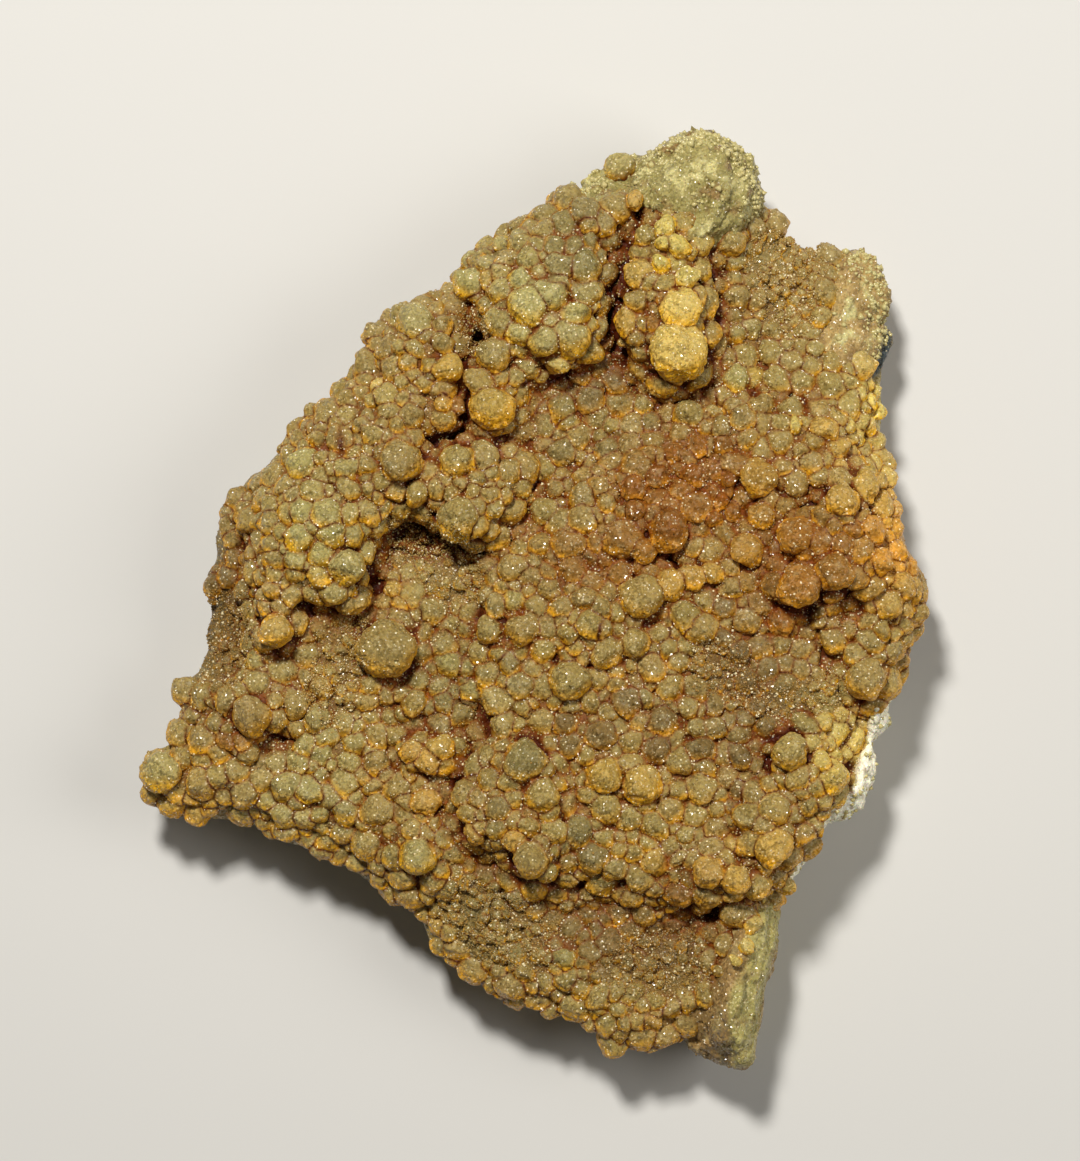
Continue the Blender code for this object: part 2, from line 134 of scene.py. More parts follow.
def lattice(points: Array, cell: float, seed: int) -> Array:
    """Smooth random swell in space, from -1 to 1.

    Args:
        points: places, one row each.
        cell: the distance between random values.
        seed: which pattern is drawn.

    Returns:
        One value for each point.
    """
    scaled = points / cell + CELL_SHIFT
    base = np.floor(scaled).astype(np.int64)
    part = scaled - base
    part = part * part * (3 - 2 * part)
    total = np.zeros(len(points))
    for corner in range(8):
        step = np.array([corner & 1, corner >> 1 & 1, corner >> 2 & 1])
        share = np.prod(np.where(step == 1, part, 1 - part), axis=1)
        total += share * hashed(base + step, seed)
    return total * 2 - 1


def hashed(cells: Array, seed: int) -> Array:
    """A repeatable random number from 0 to 1 for each whole-number cell.

    Args:
        cells: three whole numbers a row.
        seed: which pattern is drawn.

    Returns:
        One value for each cell.
    """
    mixed = cells[:, 0] * 73856093 ^ cells[:, 1] * 19349663 ^ cells[:, 2] * 83492791
    mixed = (mixed ^ seed * 2654435761) & 0xFFFFFFFF
    mixed = (mixed ^ mixed >> 15) * 2246822519 & 0xFFFFFFFF
    mixed = (mixed ^ mixed >> 13) * 3266489917 & 0xFFFFFFFF
    return (mixed ^ mixed >> 16) / 0xFFFFFFFF


def cells_around(points: Array, cell: float, seed: int) -> Iterator[tuple[Array, Array]]:
    """Walk through the 27 cells around each point, with one random spot in each cell.

    Args:
        points: places, one row each.
        cell: the size of a cell.
        seed: which pattern is drawn.

    Yields:
        The cell's numbers, and each point's offset from the spot, in cells.
    """
    scaled = points / cell + CELL_SHIFT
    base = np.floor(scaled).astype(np.int64)
    for corner in range(27):
        home = base + np.array([corner % 3 - 1, corner // 3 % 3 - 1, corner // 9 - 1])
        spot = np.stack([hashed(home, seed + k) for k in range(3)], 1) + home
        yield home, scaled - spot


def beads(points: Array, cell: float, seed: int) -> Array:
    """Tiny rounded grains in space: 1 at a grain's middle, 0 between grains.

    Args:
        points: places, one row each.
        cell: the mean size of a grain.
        seed: which pattern is drawn.

    Returns:
        One value for each point.
    """
    nearest = np.full(len(points), 9.0)
    for _, away in cells_around(points, cell, seed):
        nearest = np.minimum(nearest, (away**2).sum(1))
    return np.clip(1 - nearest, 0, 1)


def facets(points: Array, cell: float, seed: int) -> Array:
    """Hackly fracture: flat patches, each at its own tilt and level, from about -1 to 1.

    Args:
        points: places, one row each.
        cell: the mean size of a patch.
        seed: which pattern is drawn.

    Returns:
        One value for each point.
    """
    steepness = 1.4
    nearest = np.full(len(points), 9.0)
    level = np.zeros(len(points))
    for home, away in cells_around(points, cell, seed):
        gap = (away**2).sum(1)
        tilt = np.stack([hashed(home, seed + 7 + k) - 0.5 for k in range(3)], 1)
        here = hashed(home, seed + 11) - 0.5 + steepness * (away * tilt).sum(1)
        level = np.where(gap < nearest, here, level)
        nearest = np.minimum(nearest, gap)
    return level


def warp(points: Array) -> Array:
    """How far each place is pushed aside, which makes round forms uneven.

    Args:
        points: places, one row each.

    Returns:
        A shift for each point.
    """
    broad = np.stack([lattice(points, 1.7 * MM, seed) for seed in (71, 72, 73)], 1)
    close = np.stack([lattice(points, 0.75 * MM, seed) for seed in (74, 75, 76)], 1)
    return 0.34 * MM * broad + 0.15 * MM * close


@dataclass(frozen=True)
class Survey:
    """The sheet that places on the face were read on."""

    middle: tuple[float, float] = (532.1, 595.6)
    tenth: float = 0.1 * MM

    def place(self, across: Array, down: Array) -> tuple[Array, Array]:
        """Turn survey places into x and y on the slab."""
        return (across - self.middle[0]) * self.tenth, (self.middle[1] - down) * self.tenth

    def ring(self, rows: Ring) -> Array:
        """Turn a ring of survey places into points on the slab."""
        rows_in = np.array(rows, dtype=float)
        return np.stack(self.place(rows_in[:, 0], rows_in[:, 1]), 1)


def depth_inside(x: Array, y: Array, ring: Array) -> Array:
    """How far points lie inside a ring, below zero outside it.

    Args:
        x: places across.
        y: places along.
        ring: the ring's corners.

    Returns:
        A distance for each point.
    """
    runs = np.roll(ring, -1, axis=0) - ring
    nearest = np.full(len(x), np.inf)
    inside = np.zeros(len(x), dtype=bool)
    points = np.stack([x, y], 1)
    for start, run in zip(ring, runs):
        away = points - start
        along = np.clip(away @ run / (run @ run), 0, 1)
        nearest = np.minimum(nearest, np.hypot(*(away - along[:, None] * run).T))
        if run[1] != 0:
            share = away[:, 1] / run[1]
            inside ^= (share >= 0) & (share < 1) & (away[:, 0] < share * run[0])
    return np.where(inside, nearest, -nearest)


# The slab's outline, clockwise from the pointed end.
OUTLINE: Ring = (
    (686, 127), (700, 124), (716, 122), (725, 130), (740, 144), (757, 152), (752, 165),
    (760, 180), (765, 185), (768, 212), (780, 222), (790, 232), (803, 237), (812, 244),
    (828, 246), (836, 252), (852, 244), (870, 250), (882, 256), (892, 272), (897, 295),
    (893, 315), (888, 322), (895, 335), (893, 348), (885, 362), (882, 385), (885, 405),
    (885, 420), (880, 440), (876, 450), (888, 456), (895, 466), (893, 485), (890, 497),
    (898, 510), (902, 530), (905, 545), (907, 555), (915, 558), (920, 570), (925, 578),
    (931, 585), (930, 600), (925, 612), (918, 622), (920, 632), (920, 645), (912, 658),
    (907, 670), (900, 685), (893, 698), (890, 712), (891, 722), (884, 730), (876, 738),
    (873, 748), (877, 765), (874, 785), (868, 800), (855, 815), (848, 823), (835, 823),
    (828, 828), (820, 842), (813, 855), (806, 866), (797, 876), (795, 885), (785, 893),
    (779, 905), (781, 925), (778, 945), (772, 975), (765, 990), (762, 1025), (758, 1042),
    (755, 1050), (755, 1065), (748, 1072), (737, 1072), (732, 1058), (728, 1072),
    (720, 1070), (700, 1060), (690, 1050), (683, 1042), (676, 1050), (670, 1055),
    (630, 1055), (615, 1055), (605, 1048), (597, 1038), (585, 1030), (575, 1023),
    (560, 1023), (548, 1015), (537, 1008), (515, 1008), (500, 1000), (487, 992),
    (475, 985), (460, 975), (447, 965), (440, 955), (430, 945), (425, 932), (420, 920),
    (415, 917), (405, 913), (400, 907), (390, 900), (380, 893), (370, 887), (367, 880),
    (358, 877), (347, 868), (340, 860), (330, 862), (325, 858), (312, 858), (306, 855),
    (303, 848), (290, 848), (275, 842), (262, 835), (252, 827), (240, 825), (228, 822),
    (200, 820), (180, 815), (160, 810), (150, 800), (140, 790), (138, 775), (142, 762),
    (150, 752), (162, 750), (170, 755), (168, 740), (170, 725), (180, 715), (174, 705),
    (173, 692), (180, 683), (193, 675), (198, 662), (203, 650), (202, 635), (205, 615),
    (205, 600), (203, 585), (207, 572), (215, 560), (216, 545), (215, 533), (221, 520),
    (220, 510), (228, 497), (240, 490), (250, 478), (262, 473), (272, 460), (280, 452),
    (282, 440), (288, 428), (300, 422), (308, 418), (312, 408), (322, 404), (335, 400),
    (340, 385), (350, 375), (360, 366), (367, 355), (366, 340), (370, 328), (382, 318),
    (390, 311), (402, 302), (415, 300), (425, 292), (440, 290), (453, 286), (455, 276),
    (462, 268), (470, 257), (480, 250), (487, 243), (498, 232), (508, 226), (518, 224),
    (525, 215), (540, 207), (550, 205), (556, 195), (565, 188), (578, 183), (580, 177),
    (590, 166), (600, 158), (613, 150), (625, 151), (635, 149), (641, 155), (655, 147),
    (670, 138), (680, 130),
)

# Raised ground: its rise and the width of its slope in millimetres, and its ring.
TERRACES: tuple[tuple[float, float, Ring], ...] = (
    (3.4, 1.5, (
        (370, 344), (410, 310), (460, 288), (480, 258), (520, 230), (580, 180), (628, 203),
        (605, 245), (612, 284), (600, 310), (600, 348), (576, 364), (536, 374), (516, 358),
        (494, 344), (486, 316), (468, 302), (456, 314), (462, 346), (462, 380), (454, 424),
        (430, 440), (426, 456), (444, 450), (470, 444), (505, 456), (525, 484), (506, 514),
        (494, 536), (474, 540), (450, 534), (434, 514), (404, 506), (386, 512), (370, 534),
        (366, 570), (360, 598), (340, 602), (316, 594), (296, 604), (292, 634), (274, 646),
        (260, 630), (266, 580), (260, 520), (270, 490), (286, 450), (310, 416), (350, 380),
        (366, 356),
    )),
    (3.0, 1.0, (
        (472, 360), (490, 346), (510, 356), (522, 380), (514, 416), (498, 434), (476, 428),
        (468, 400),
    )),
    (3.4, 1.2, (
        (640, 230), (668, 218), (694, 236), (698, 266), (704, 294), (706, 340), (696, 380),
        (670, 386), (648, 364), (626, 342), (616, 320), (626, 290), (642, 260),
    )),
    (3.0, 1.0, (
        (640, 165), (690, 127), (757, 155), (760, 200), (735, 235), (705, 252), (675, 218),
        (650, 212), (628, 203),
    )),
    (2.0, 1.8, (
        (505, 560), (560, 520), (620, 460), (740, 400), (840, 420), (860, 560), (840, 700),
        (830, 820), (790, 884), (760, 896), (705, 896), (665, 904), (630, 896), (596, 872),
        (560, 880), (528, 882), (500, 850), (468, 834), (460, 796), (484, 772), (496, 720),
        (480, 660), (486, 606),
    )),
    (2.2, 1.2, (
        (850, 470), (886, 472), (890, 510), (910, 566), (920, 600), (902, 640), (896, 676),
        (876, 702), (850, 690), (846, 664), (860, 636), (866, 608), (860, 580), (838, 592),
        (816, 580), (786, 606), (774, 588), (788, 560), (796, 526), (826, 510), (836, 488),
    )),
    (1.8, 1.2, (
        (778, 736), (806, 740), (836, 766), (828, 798), (816, 830), (794, 848), (776, 876),
        (754, 862), (736, 824), (742, 804), (770, 780),
    )),
    (1.6, 0.9, ((694, 856), (736, 854), (758, 884), (742, 896), (698, 894))),
    (1.8, 0.8, ((402, 740), (450, 734), (458, 764), (420, 774), (404, 764))),
    (1.6, 1.0, (
        (462, 796), (484, 764), (526, 746), (556, 770), (560, 806), (556, 862), (546, 880),
        (524, 874), (508, 848), (476, 842), (460, 820),
    )),
    (3.2, 1.4, (
        (734, 910), (776, 904), (774, 950), (756, 1040), (750, 1068), (738, 1070),
        (720, 1040), (716, 1004), (726, 956),
    )),
)

# Swells and hollows: their middle, their reach across and down, and their rise in millimetres.
SWELLS: tuple[tuple[float, ...], ...] = (
    (552, 316, 50, 52, 1.8), (425, 345, 45, 40, 1.0), (400, 456, 44, 54, 1.4),
    (466, 500, 44, 48, 1.0), (326, 536, 44, 50, 1.8), (252, 710, 38, 32, 2.0),
    (664, 304, 36, 60, 1.2), (715, 170, 60, 55, 1.6), (620, 520, 130, 100, 1.0),
    (590, 620, 34, 34, 1.6), (384, 654, 36, 36, 1.0), (866, 540, 48, 70, 1.2),
    (600, 740, 100, 100, 0.8), (426, 846, 34, 44, 1.8),
    (420, 544, 46, 24, -2.0), (368, 576, 12, 36, -2.4), (470, 330, 16, 28, -3.2),
    (438, 438, 18, 13, -3.0), (612, 316, 13, 40, -3.4), (308, 606, 26, 12, -2.2),
    (278, 740, 20, 15, -2.6), (706, 918, 48, 24, -2.8), (560, 926, 90, 50, -1.4),
    (664, 970, 46, 54, -1.6), (669, 560, 11, 9, -3.4), (806, 646, 34, 34, -1.4),
    (836, 664, 15, 14, -2.2), (810, 304, 60, 50, -1.6), (490, 854, 20, 12, -1.8),
    (230, 630, 30, 80, -1.6),
)

# The broken faces, the strip of chalky matrix and the recesses with a granular floor.
PALE_FACE: Ring = (
    (636, 165), (690, 122), (764, 152), (764, 204), (735, 238), (703, 252), (674, 216),
    (646, 212), (626, 203),
)
SHOULDER_FACE: Ring = ((556, 196), (600, 155), (636, 148), (640, 166), (626, 196), (590, 206))
PINK_PLATE: Ring = (
    (818, 326), (826, 296), (838, 266), (852, 240), (876, 246), (900, 268), (904, 300),
    (900, 330), (884, 352), (866, 364), (846, 368), (824, 354),
)
CREAM_STRIP: Ring = (
    (874, 702), (902, 690), (893, 725), (880, 748), (878, 792), (850, 832), (826, 838),
    (806, 872), (792, 892), (780, 890), (790, 862), (812, 838), (818, 812), (840, 797),
    (855, 785), (860, 760), (868, 735),
)
PRONG: Ring = (
    (694, 996), (714, 1000), (722, 960), (736, 916), (786, 896), (782, 950), (766, 1030),
    (758, 1078), (730, 1076), (690, 1056),
)
PRONG_BAND: Ring = (
    (784, 900), (757, 910), (746, 932), (750, 957), (730, 990), (727, 1004), (730, 1032),
    (734, 1070), (756, 1068), (762, 1018), (768, 984), (774, 962), (784, 940),
)
WEDGE: Ring = (
    (836, 366), (848, 370), (858, 372), (868, 367), (880, 356), (886, 340), (888, 328),
    (898, 324), (898, 346), (890, 366), (878, 377), (860, 379), (844, 376),
)
GRANULAR: tuple[Ring, ...] = (
    ((762, 222), (820, 238), (832, 262), (818, 322), (790, 345), (765, 320), (745, 262)),
    ((204, 590), (250, 590), (256, 640), (240, 690), (192, 690), (202, 640)),
    ((700, 640), (740, 640), (770, 690), (842, 664), (846, 712), (770, 722), (700, 690)),
    ((455, 870), (520, 900), (560, 930), (540, 975), (470, 960), (436, 915)),
    ((388, 514), (440, 520), (486, 548), (484, 600), (440, 606), (392, 560)),
    ((690, 640), (728, 640), (728, 690), (690, 690)),
    ((618, 935), (700, 930), (712, 990), (660, 1004), (600, 985)),
    ((372, 620), (360, 700), (330, 730), (300, 700), (320, 640), (350, 612)),
    ((455, 300), (490, 320), (492, 345), (470, 356), (460, 330)),
)
ZONE_RINGS: dict[str, tuple[Ring, ...]] = {
    "granular": GRANULAR,
    "cream": (CREAM_STRIP,),
    "pale": (PALE_FACE, SHOULDER_FACE),
    "pink": (PINK_PLATE,),
    "tan": (PRONG,),
    "band": (PRONG_BAND,),
    "wedge": (WEDGE,),
    "bare": (PALE_FACE, SHOULDER_FACE, PINK_PLATE, CREAM_STRIP, PRONG, WEDGE),
}

H, A, L, O, P, G, V, R, D, S = Tint
PROUD, HALF = Stand

# Globules read one by one: across, down and radius.
GLOBULES: dict[tuple[Stand, Tint], tuple[tuple[int, ...], ...]] = {
    (PROUD, A): (
        (677, 354, 28), (680, 312, 19), (628, 323, 15), (638, 276, 15), (450, 370, 16),
        (643, 552, 13), (670, 586, 16), (690, 577, 14), (711, 574, 12), (745, 550, 16),
        (760, 516, 13), (758, 478, 19), (795, 538, 18), (830, 573, 18), (797, 588, 21),
        (862, 488, 17), (840, 503, 16), (425, 802, 14), (642, 914, 13), (278, 630, 16),
        (771, 845, 18), (475, 832, 11), (735, 878, 15), (708, 872, 15), (492, 408, 22),
        (605, 773, 17), (641, 784, 19), (398, 605, 8), (392, 590, 10), (415, 703, 13),
    ),
    (PROUD, L): (
        (665, 233, 11), (663, 247, 9), (677, 250, 11), (685, 283, 13), (793, 425, 8),
        (658, 911, 7), (557, 365, 13), (764, 902, 5), (733, 958, 7), (658, 266, 8),
    ),
    (PROUD, O): ((875, 562, 15), (868, 530, 16), (893, 552, 12), (667, 532, 20)),
    (PROUD, P): (
        (417, 325, 18), (470, 284, 17), (305, 465, 17), (158, 774, 20), (348, 567, 18),
        (418, 855, 18), (815, 612, 8), (818, 622, 8), (738, 380, 14),
    ),
    (PROUD, H): (
        (569, 679, 20), (495, 357, 17), (480, 385, 15), (403, 462, 21), (458, 462, 18),
        (458, 520, 21), (387, 650, 27), (490, 630, 14), (523, 630, 17), (478, 767, 14),
        (530, 858, 17), (547, 871, 10), (252, 715, 19), (642, 597, 21), (688, 418, 16),
        (865, 680, 19), (886, 683, 17), (788, 750, 19), (545, 512, 15), (633, 643, 15),
    ),
    (HALF, P): (
        (475, 262, 14), (490, 268, 12), (505, 245, 11), (520, 240, 10), (503, 295, 13),
        (520, 285, 13), (530, 310, 21), (520, 335, 14), (545, 345, 18), (570, 340, 20),
        (550, 300, 18), (575, 318, 16), (305, 515, 12), (330, 517, 17), (302, 538, 15),
        (335, 535, 15), (325, 553, 12), (300, 560, 12), (335, 590, 14), (350, 470, 14),
        (620, 165, 16), (450, 665, 15), (475, 690, 13), (470, 665, 14), (258, 660, 13),
        (318, 720, 15), (310, 790, 14), (355, 862, 12), (562, 958, 13), (732, 706, 6),
        (817, 350, 9), (515, 600, 10),
    ),
    (HALF, G): (
        (585, 215, 16), (607, 240, 13), (590, 247, 9), (613, 260, 14), (583, 272, 18),
        (560, 272, 16), (556, 290, 14), (555, 250, 11), (717, 285, 11), (735, 262, 12),
        (735, 335, 11), (590, 400, 13), (562, 408, 15), (570, 420, 11), (525, 760, 22),
        (498, 806, 15), (497, 825, 12), (445, 705, 12), (345, 812, 15), (320, 815, 8),
        (803, 725, 17), (577, 832, 17), (592, 856, 17), (520, 685, 15), (510, 662, 14),
        (643, 697, 12), (560, 845, 10), (515, 955, 10), (628, 963, 8), (648, 967, 9),
        (455, 748, 10), (608, 450, 14), (560, 455, 15), (583, 500, 15), (652, 424, 12),
    ),
    (HALF, V): (
        (580, 375, 13), (738, 652, 12), (765, 725, 12), (740, 755, 13), (755, 705, 10),
        (722, 607, 12), (722, 640, 11), (745, 680, 14), (737, 790, 11), (732, 805, 10),
        (700, 750, 17), (615, 380, 15), (628, 702, 16), (660, 720, 16),
        (567, 722, 13), (570, 745, 13), (600, 735, 17), (655, 750, 15),
    ),
    (HALF, O): (
        (633, 511, 11), (453, 408, 10), (722, 447, 11), (727, 480, 9), (695, 448, 10),
        (692, 477, 13), (657, 478, 13), (778, 620, 16), (908, 570, 13), (245, 738, 10),
        (228, 740, 10), (290, 745, 8), (680, 890, 16), (893, 532, 13), (885, 540, 9),
        (652, 325, 8), (664, 305, 8), (672, 455, 11), (633, 490, 14), (713, 520, 10),
        (718, 500, 9), (733, 512, 9), (850, 530, 9),
    ),
    (HALF, L): (
        (887, 478, 12), (875, 465, 11), (880, 410, 9), (870, 425, 10), (870, 400, 9),
        (870, 382, 8), (850, 740, 15), (380, 385, 9), (845, 425, 9), (855, 438, 9),
        (710, 300, 8), (612, 282, 8), (890, 497, 9), (858, 395, 9), (787, 885, 10),
        (745, 945, 8), (752, 925, 9), (838, 775, 10),
    ),
    (HALF, A): (
        (487, 283, 9), (322, 573, 13), (320, 688, 12), (655, 860, 16), (610, 345, 10),
        (835, 450, 14), (850, 455, 10), (838, 470, 10), (822, 430, 14), (440, 430, 12),
        (515, 840, 12), (515, 615, 8), (443, 405, 8), (413, 752, 12), (430, 760, 14),
        (442, 765, 10), (440, 748, 14), (733, 845, 14), (438, 928, 11), (653, 1024, 9),
        (753, 378, 12), (828, 775, 17), (588, 228, 10), (635, 203, 10),
    ),
    (HALF, H): (
        (541, 793, 18), (637, 305, 15), (700, 262, 10), (380, 335, 16), (405, 308, 9),
        (388, 315, 8), (432, 300, 12), (437, 310, 9), (443, 328, 11), (443, 345, 12), (405, 352, 9),
        (415, 352, 9), (430, 365, 9), (500, 378, 10), (515, 380, 10), (385, 365, 8),
        (355, 390, 10), (410, 365, 8), (405, 385, 9), (425, 385, 9), (632, 375, 10),
        (645, 388, 9), (643, 405, 11), (668, 397, 9), (693, 397, 12), (712, 397, 9),
        (713, 415, 10), (703, 430, 9), (740, 420, 13), (745, 440, 10), (612, 425, 9),
        (585, 480, 12), (648, 455, 8), (557, 490, 9), (375, 438, 13), (366, 430, 10),
        (370, 452, 7), (398, 428, 9), (373, 402, 9), (350, 403, 13), (420, 405, 9),
        (415, 440, 11), (465, 447, 12), (483, 447, 10), (432, 455, 8), (520, 470, 18),
        (478, 480, 10), (490, 475, 9), (418, 493, 13), (437, 490, 10), (452, 495, 9),
        (475, 525, 15), (477, 507, 10), (495, 510, 10), (505, 498, 9), (525, 497, 9),
        (520, 530, 12), (520, 550, 10), (498, 550, 12), (540, 545, 12), (350, 515, 12),
        (352, 535, 12), (383, 540, 11), (380, 550, 10), (397, 561, 8), (393, 578, 8),
        (345, 440, 12), (350, 490, 12), (370, 465, 10), (370, 490, 10), (607, 505, 10),
        (695, 508, 17), (622, 540, 20), (568, 547, 16), (595, 543, 10), (693, 548, 10),
        (727, 570, 10), (748, 583, 13), (650, 575, 11), (683, 615, 17), (700, 628, 17),
        (745, 620, 14), (563, 608, 12), (585, 600, 13), (600, 610, 12), (590, 625, 14),
        (570, 633, 12), (600, 628, 10), (575, 645, 10), (605, 650, 18), (652, 668, 15),
        (680, 662, 12), (615, 670, 10), (630, 665, 8), (762, 407, 14), (792, 410, 13),
        (780, 443, 14), (800, 452, 9), (810, 465, 11), (781, 467, 13), (795, 485, 13),
        (785, 507, 12), (820, 482, 10), (818, 497, 10), (822, 520, 12), (830, 530, 9),
        (890, 512, 14), (780, 530, 10), (777, 550, 12), (830, 607, 10), (848, 630, 13),
        (832, 640, 15), (842, 655, 8), (800, 650, 15), (812, 660, 9), (885, 605, 15),
        (905, 610, 11), (900, 625, 12), (880, 630, 10), (920, 592, 12), (890, 652, 14),
        (905, 650, 9), (855, 655, 12), (870, 710, 10), (845, 720, 12), (820, 720, 11),
        (778, 767, 8), (795, 775, 14), (825, 745, 9), (818, 760, 10), (768, 785, 10),
        (772, 808, 16), (798, 790, 9), (805, 803, 11), (745, 815, 14), (760, 823, 13),
        (800, 832, 15), (808, 825, 13), (765, 866, 9), (315, 415, 10), (300, 432, 12),
        (285, 450, 10), (300, 440, 9), (310, 428, 9), (318, 440, 8), (340, 440, 14),
        (325, 460, 9), (335, 472, 9), (355, 455, 8), (290, 488, 15), (315, 495, 13),
        (330, 493, 8), (268, 500, 14), (272, 525, 11), (275, 545, 10), (278, 560, 11),
        (277, 575, 10), (276, 587, 10), (283, 605, 12), (263, 605, 9), (257, 628, 9),
        (235, 500, 13), (245, 515, 12), (228, 528, 13), (232, 540, 10), (250, 540, 9),
        (250, 560, 12), (225, 560, 10), (212, 585, 12), (245, 590, 13), (298, 573, 9),
        (365, 600, 10), (399, 673, 6), (365, 703, 12), (358, 728, 8), (405, 712, 9),
        (468, 628, 10), (498, 608, 12), (500, 655, 10), (545, 650, 13), (485, 702, 5),
        (510, 778, 12), (205, 740, 16), (183, 693, 14), (180, 735, 16), (282, 728, 10),
        (305, 680, 10), (332, 672, 8), (200, 785, 16), (210, 808, 10), (262, 823, 9),
        (270, 833, 8), (285, 830, 14), (373, 787, 10), (380, 880, 12), (320, 850, 12),
        (590, 703, 12), (585, 755, 10), (615, 685, 9), (672, 690, 15), (687, 707, 11),
        (695, 727, 13), (700, 765, 14), (698, 787, 16), (677, 790, 10), (668, 808, 13),
        (587, 793, 11), (605, 806, 16), (603, 835, 12), (618, 848, 9), (632, 852, 9),
        (655, 826, 14), (685, 832, 11), (680, 858, 10), (710, 850, 13), (717, 793, 9),
        (715, 810, 9), (430, 792, 10), (435, 823, 9), (412, 830, 11), (432, 880, 14),
        (447, 890, 13), (428, 895, 10), (440, 870, 10), (470, 812, 12), (530, 825, 11),
        (545, 855, 7), (463, 848, 9), (467, 865, 8), (565, 905, 9), (537, 955, 9),
        (580, 987, 10), (598, 1012, 9), (595, 977, 6), (625, 1025, 9), (670, 1010, 12),
        (655, 1003, 9), (655, 888, 11), (762, 885, 13), (752, 907, 6), (720, 970, 7),
    ),
}

# Broad zones of colour: the tint, the zone's middle, and its reach across and down.
TINT_ZONES: tuple[tuple[Tint, int, int, int, int], ...] = (
    (P, 545, 320, 55, 60), (G, 590, 250, 45, 45), (P, 325, 540, 42, 50),
    (G, 440, 690, 50, 40), (O, 690, 490, 80, 45), (V, 640, 930, 110, 45),
    (V, 745, 680, 50, 50), (V, 600, 380, 40, 30), (S, 800, 290, 60, 55),
    (R, 215, 610, 36, 90), (G, 500, 900, 50, 35), (A, 180, 805, 45, 16),
    (R, 470, 330, 20, 30), (O, 610, 560, 70, 30), (O, 800, 562, 66, 56),
    (D, 893, 540, 30, 60), (L, 880, 400, 28, 60), (L, 672, 248, 20, 16),
    (L, 680, 312, 10, 10), (L, 677, 354, 10, 10), (S, 300, 690, 60, 70),
    (P, 300, 800, 60, 34), (P, 330, 745, 36, 30), (S, 430, 562, 50, 34),
    (L, 845, 745, 40, 40),
)


@dataclass(frozen=True)
class Fill:
    """One range of globules that are fitted into the gaps between those already there."""

    seed: int
    tries: int
    least: float
    most: float
    gap: float
    granular: bool


class Raster:
    """Numbers kept on a fine grid over the face, and read between its points."""

    pitch: float = 0.2 * MM
    low: tuple[float, float] = (-43 * MM, -51 * MM)
    count: tuple[int, int] = (430, 510)

    @classmethod
    def window(cls, x: float, y: float, reach: float) -> tuple[slice, slice, Array]:
        """The grid points round a place.

        Args:
            x: the place across.
            y: the place along.
            reach: how far round it.

        Returns:
            Slices for both directions, and each point's distance from the place squared.
        """
        i, j = int((x - cls.low[0]) / cls.pitch), int((y - cls.low[1]) / cls.pitch)
        n = int(reach / cls.pitch) + 1
        rows, columns = slice(max(i - n, 0), i + n + 2), slice(max(j - n, 0), j + n + 2)
        across = cls.low[0] + cls.pitch * np.arange(cls.count[0])[rows] - x
        along = cls.low[1] + cls.pitch * np.arange(cls.count[1])[columns] - y
        return rows, columns, across[:, None] ** 2 + along[None, :] ** 2

    @classmethod
    def spots(cls) -> tuple[Array, Array]:
        """The x and the y of every grid point.

        Returns:
            Two lists of numbers as long as the grid has points.
        """
        x = cls.low[0] + cls.pitch * np.arange(cls.count[0])
        y = cls.low[1] + cls.pitch * np.arange(cls.count[1])
        across, along = np.meshgrid(x, y, indexing="ij")
        return across.ravel(), along.ravel()

    def __init__(self, values: Array) -> None:
        """Keep one value for each grid point."""
        self.values = values.reshape(self.count)

    def at(self, x: Array, y: Array) -> Array:
        """The value at each place.

        Args:
            x: places across.
            y: places along.

        Returns:
            Values read between the four grid points around each place.
        """
        across = np.clip((np.asarray(x) - self.low[0]) / self.pitch, 0, self.count[0] - 1.001)
        along = np.clip((np.asarray(y) - self.low[1]) / self.pitch, 0, self.count[1] - 1.001)
        i, j = across.astype(int), along.astype(int)
        u, v = across - i, along - j
        grid = self.values
        near = grid[i, j] * (1 - v) + grid[i, j + 1] * v
        far = grid[i + 1, j] * (1 - v) + grid[i + 1, j + 1] * v
        return near * (1 - u) + far * u


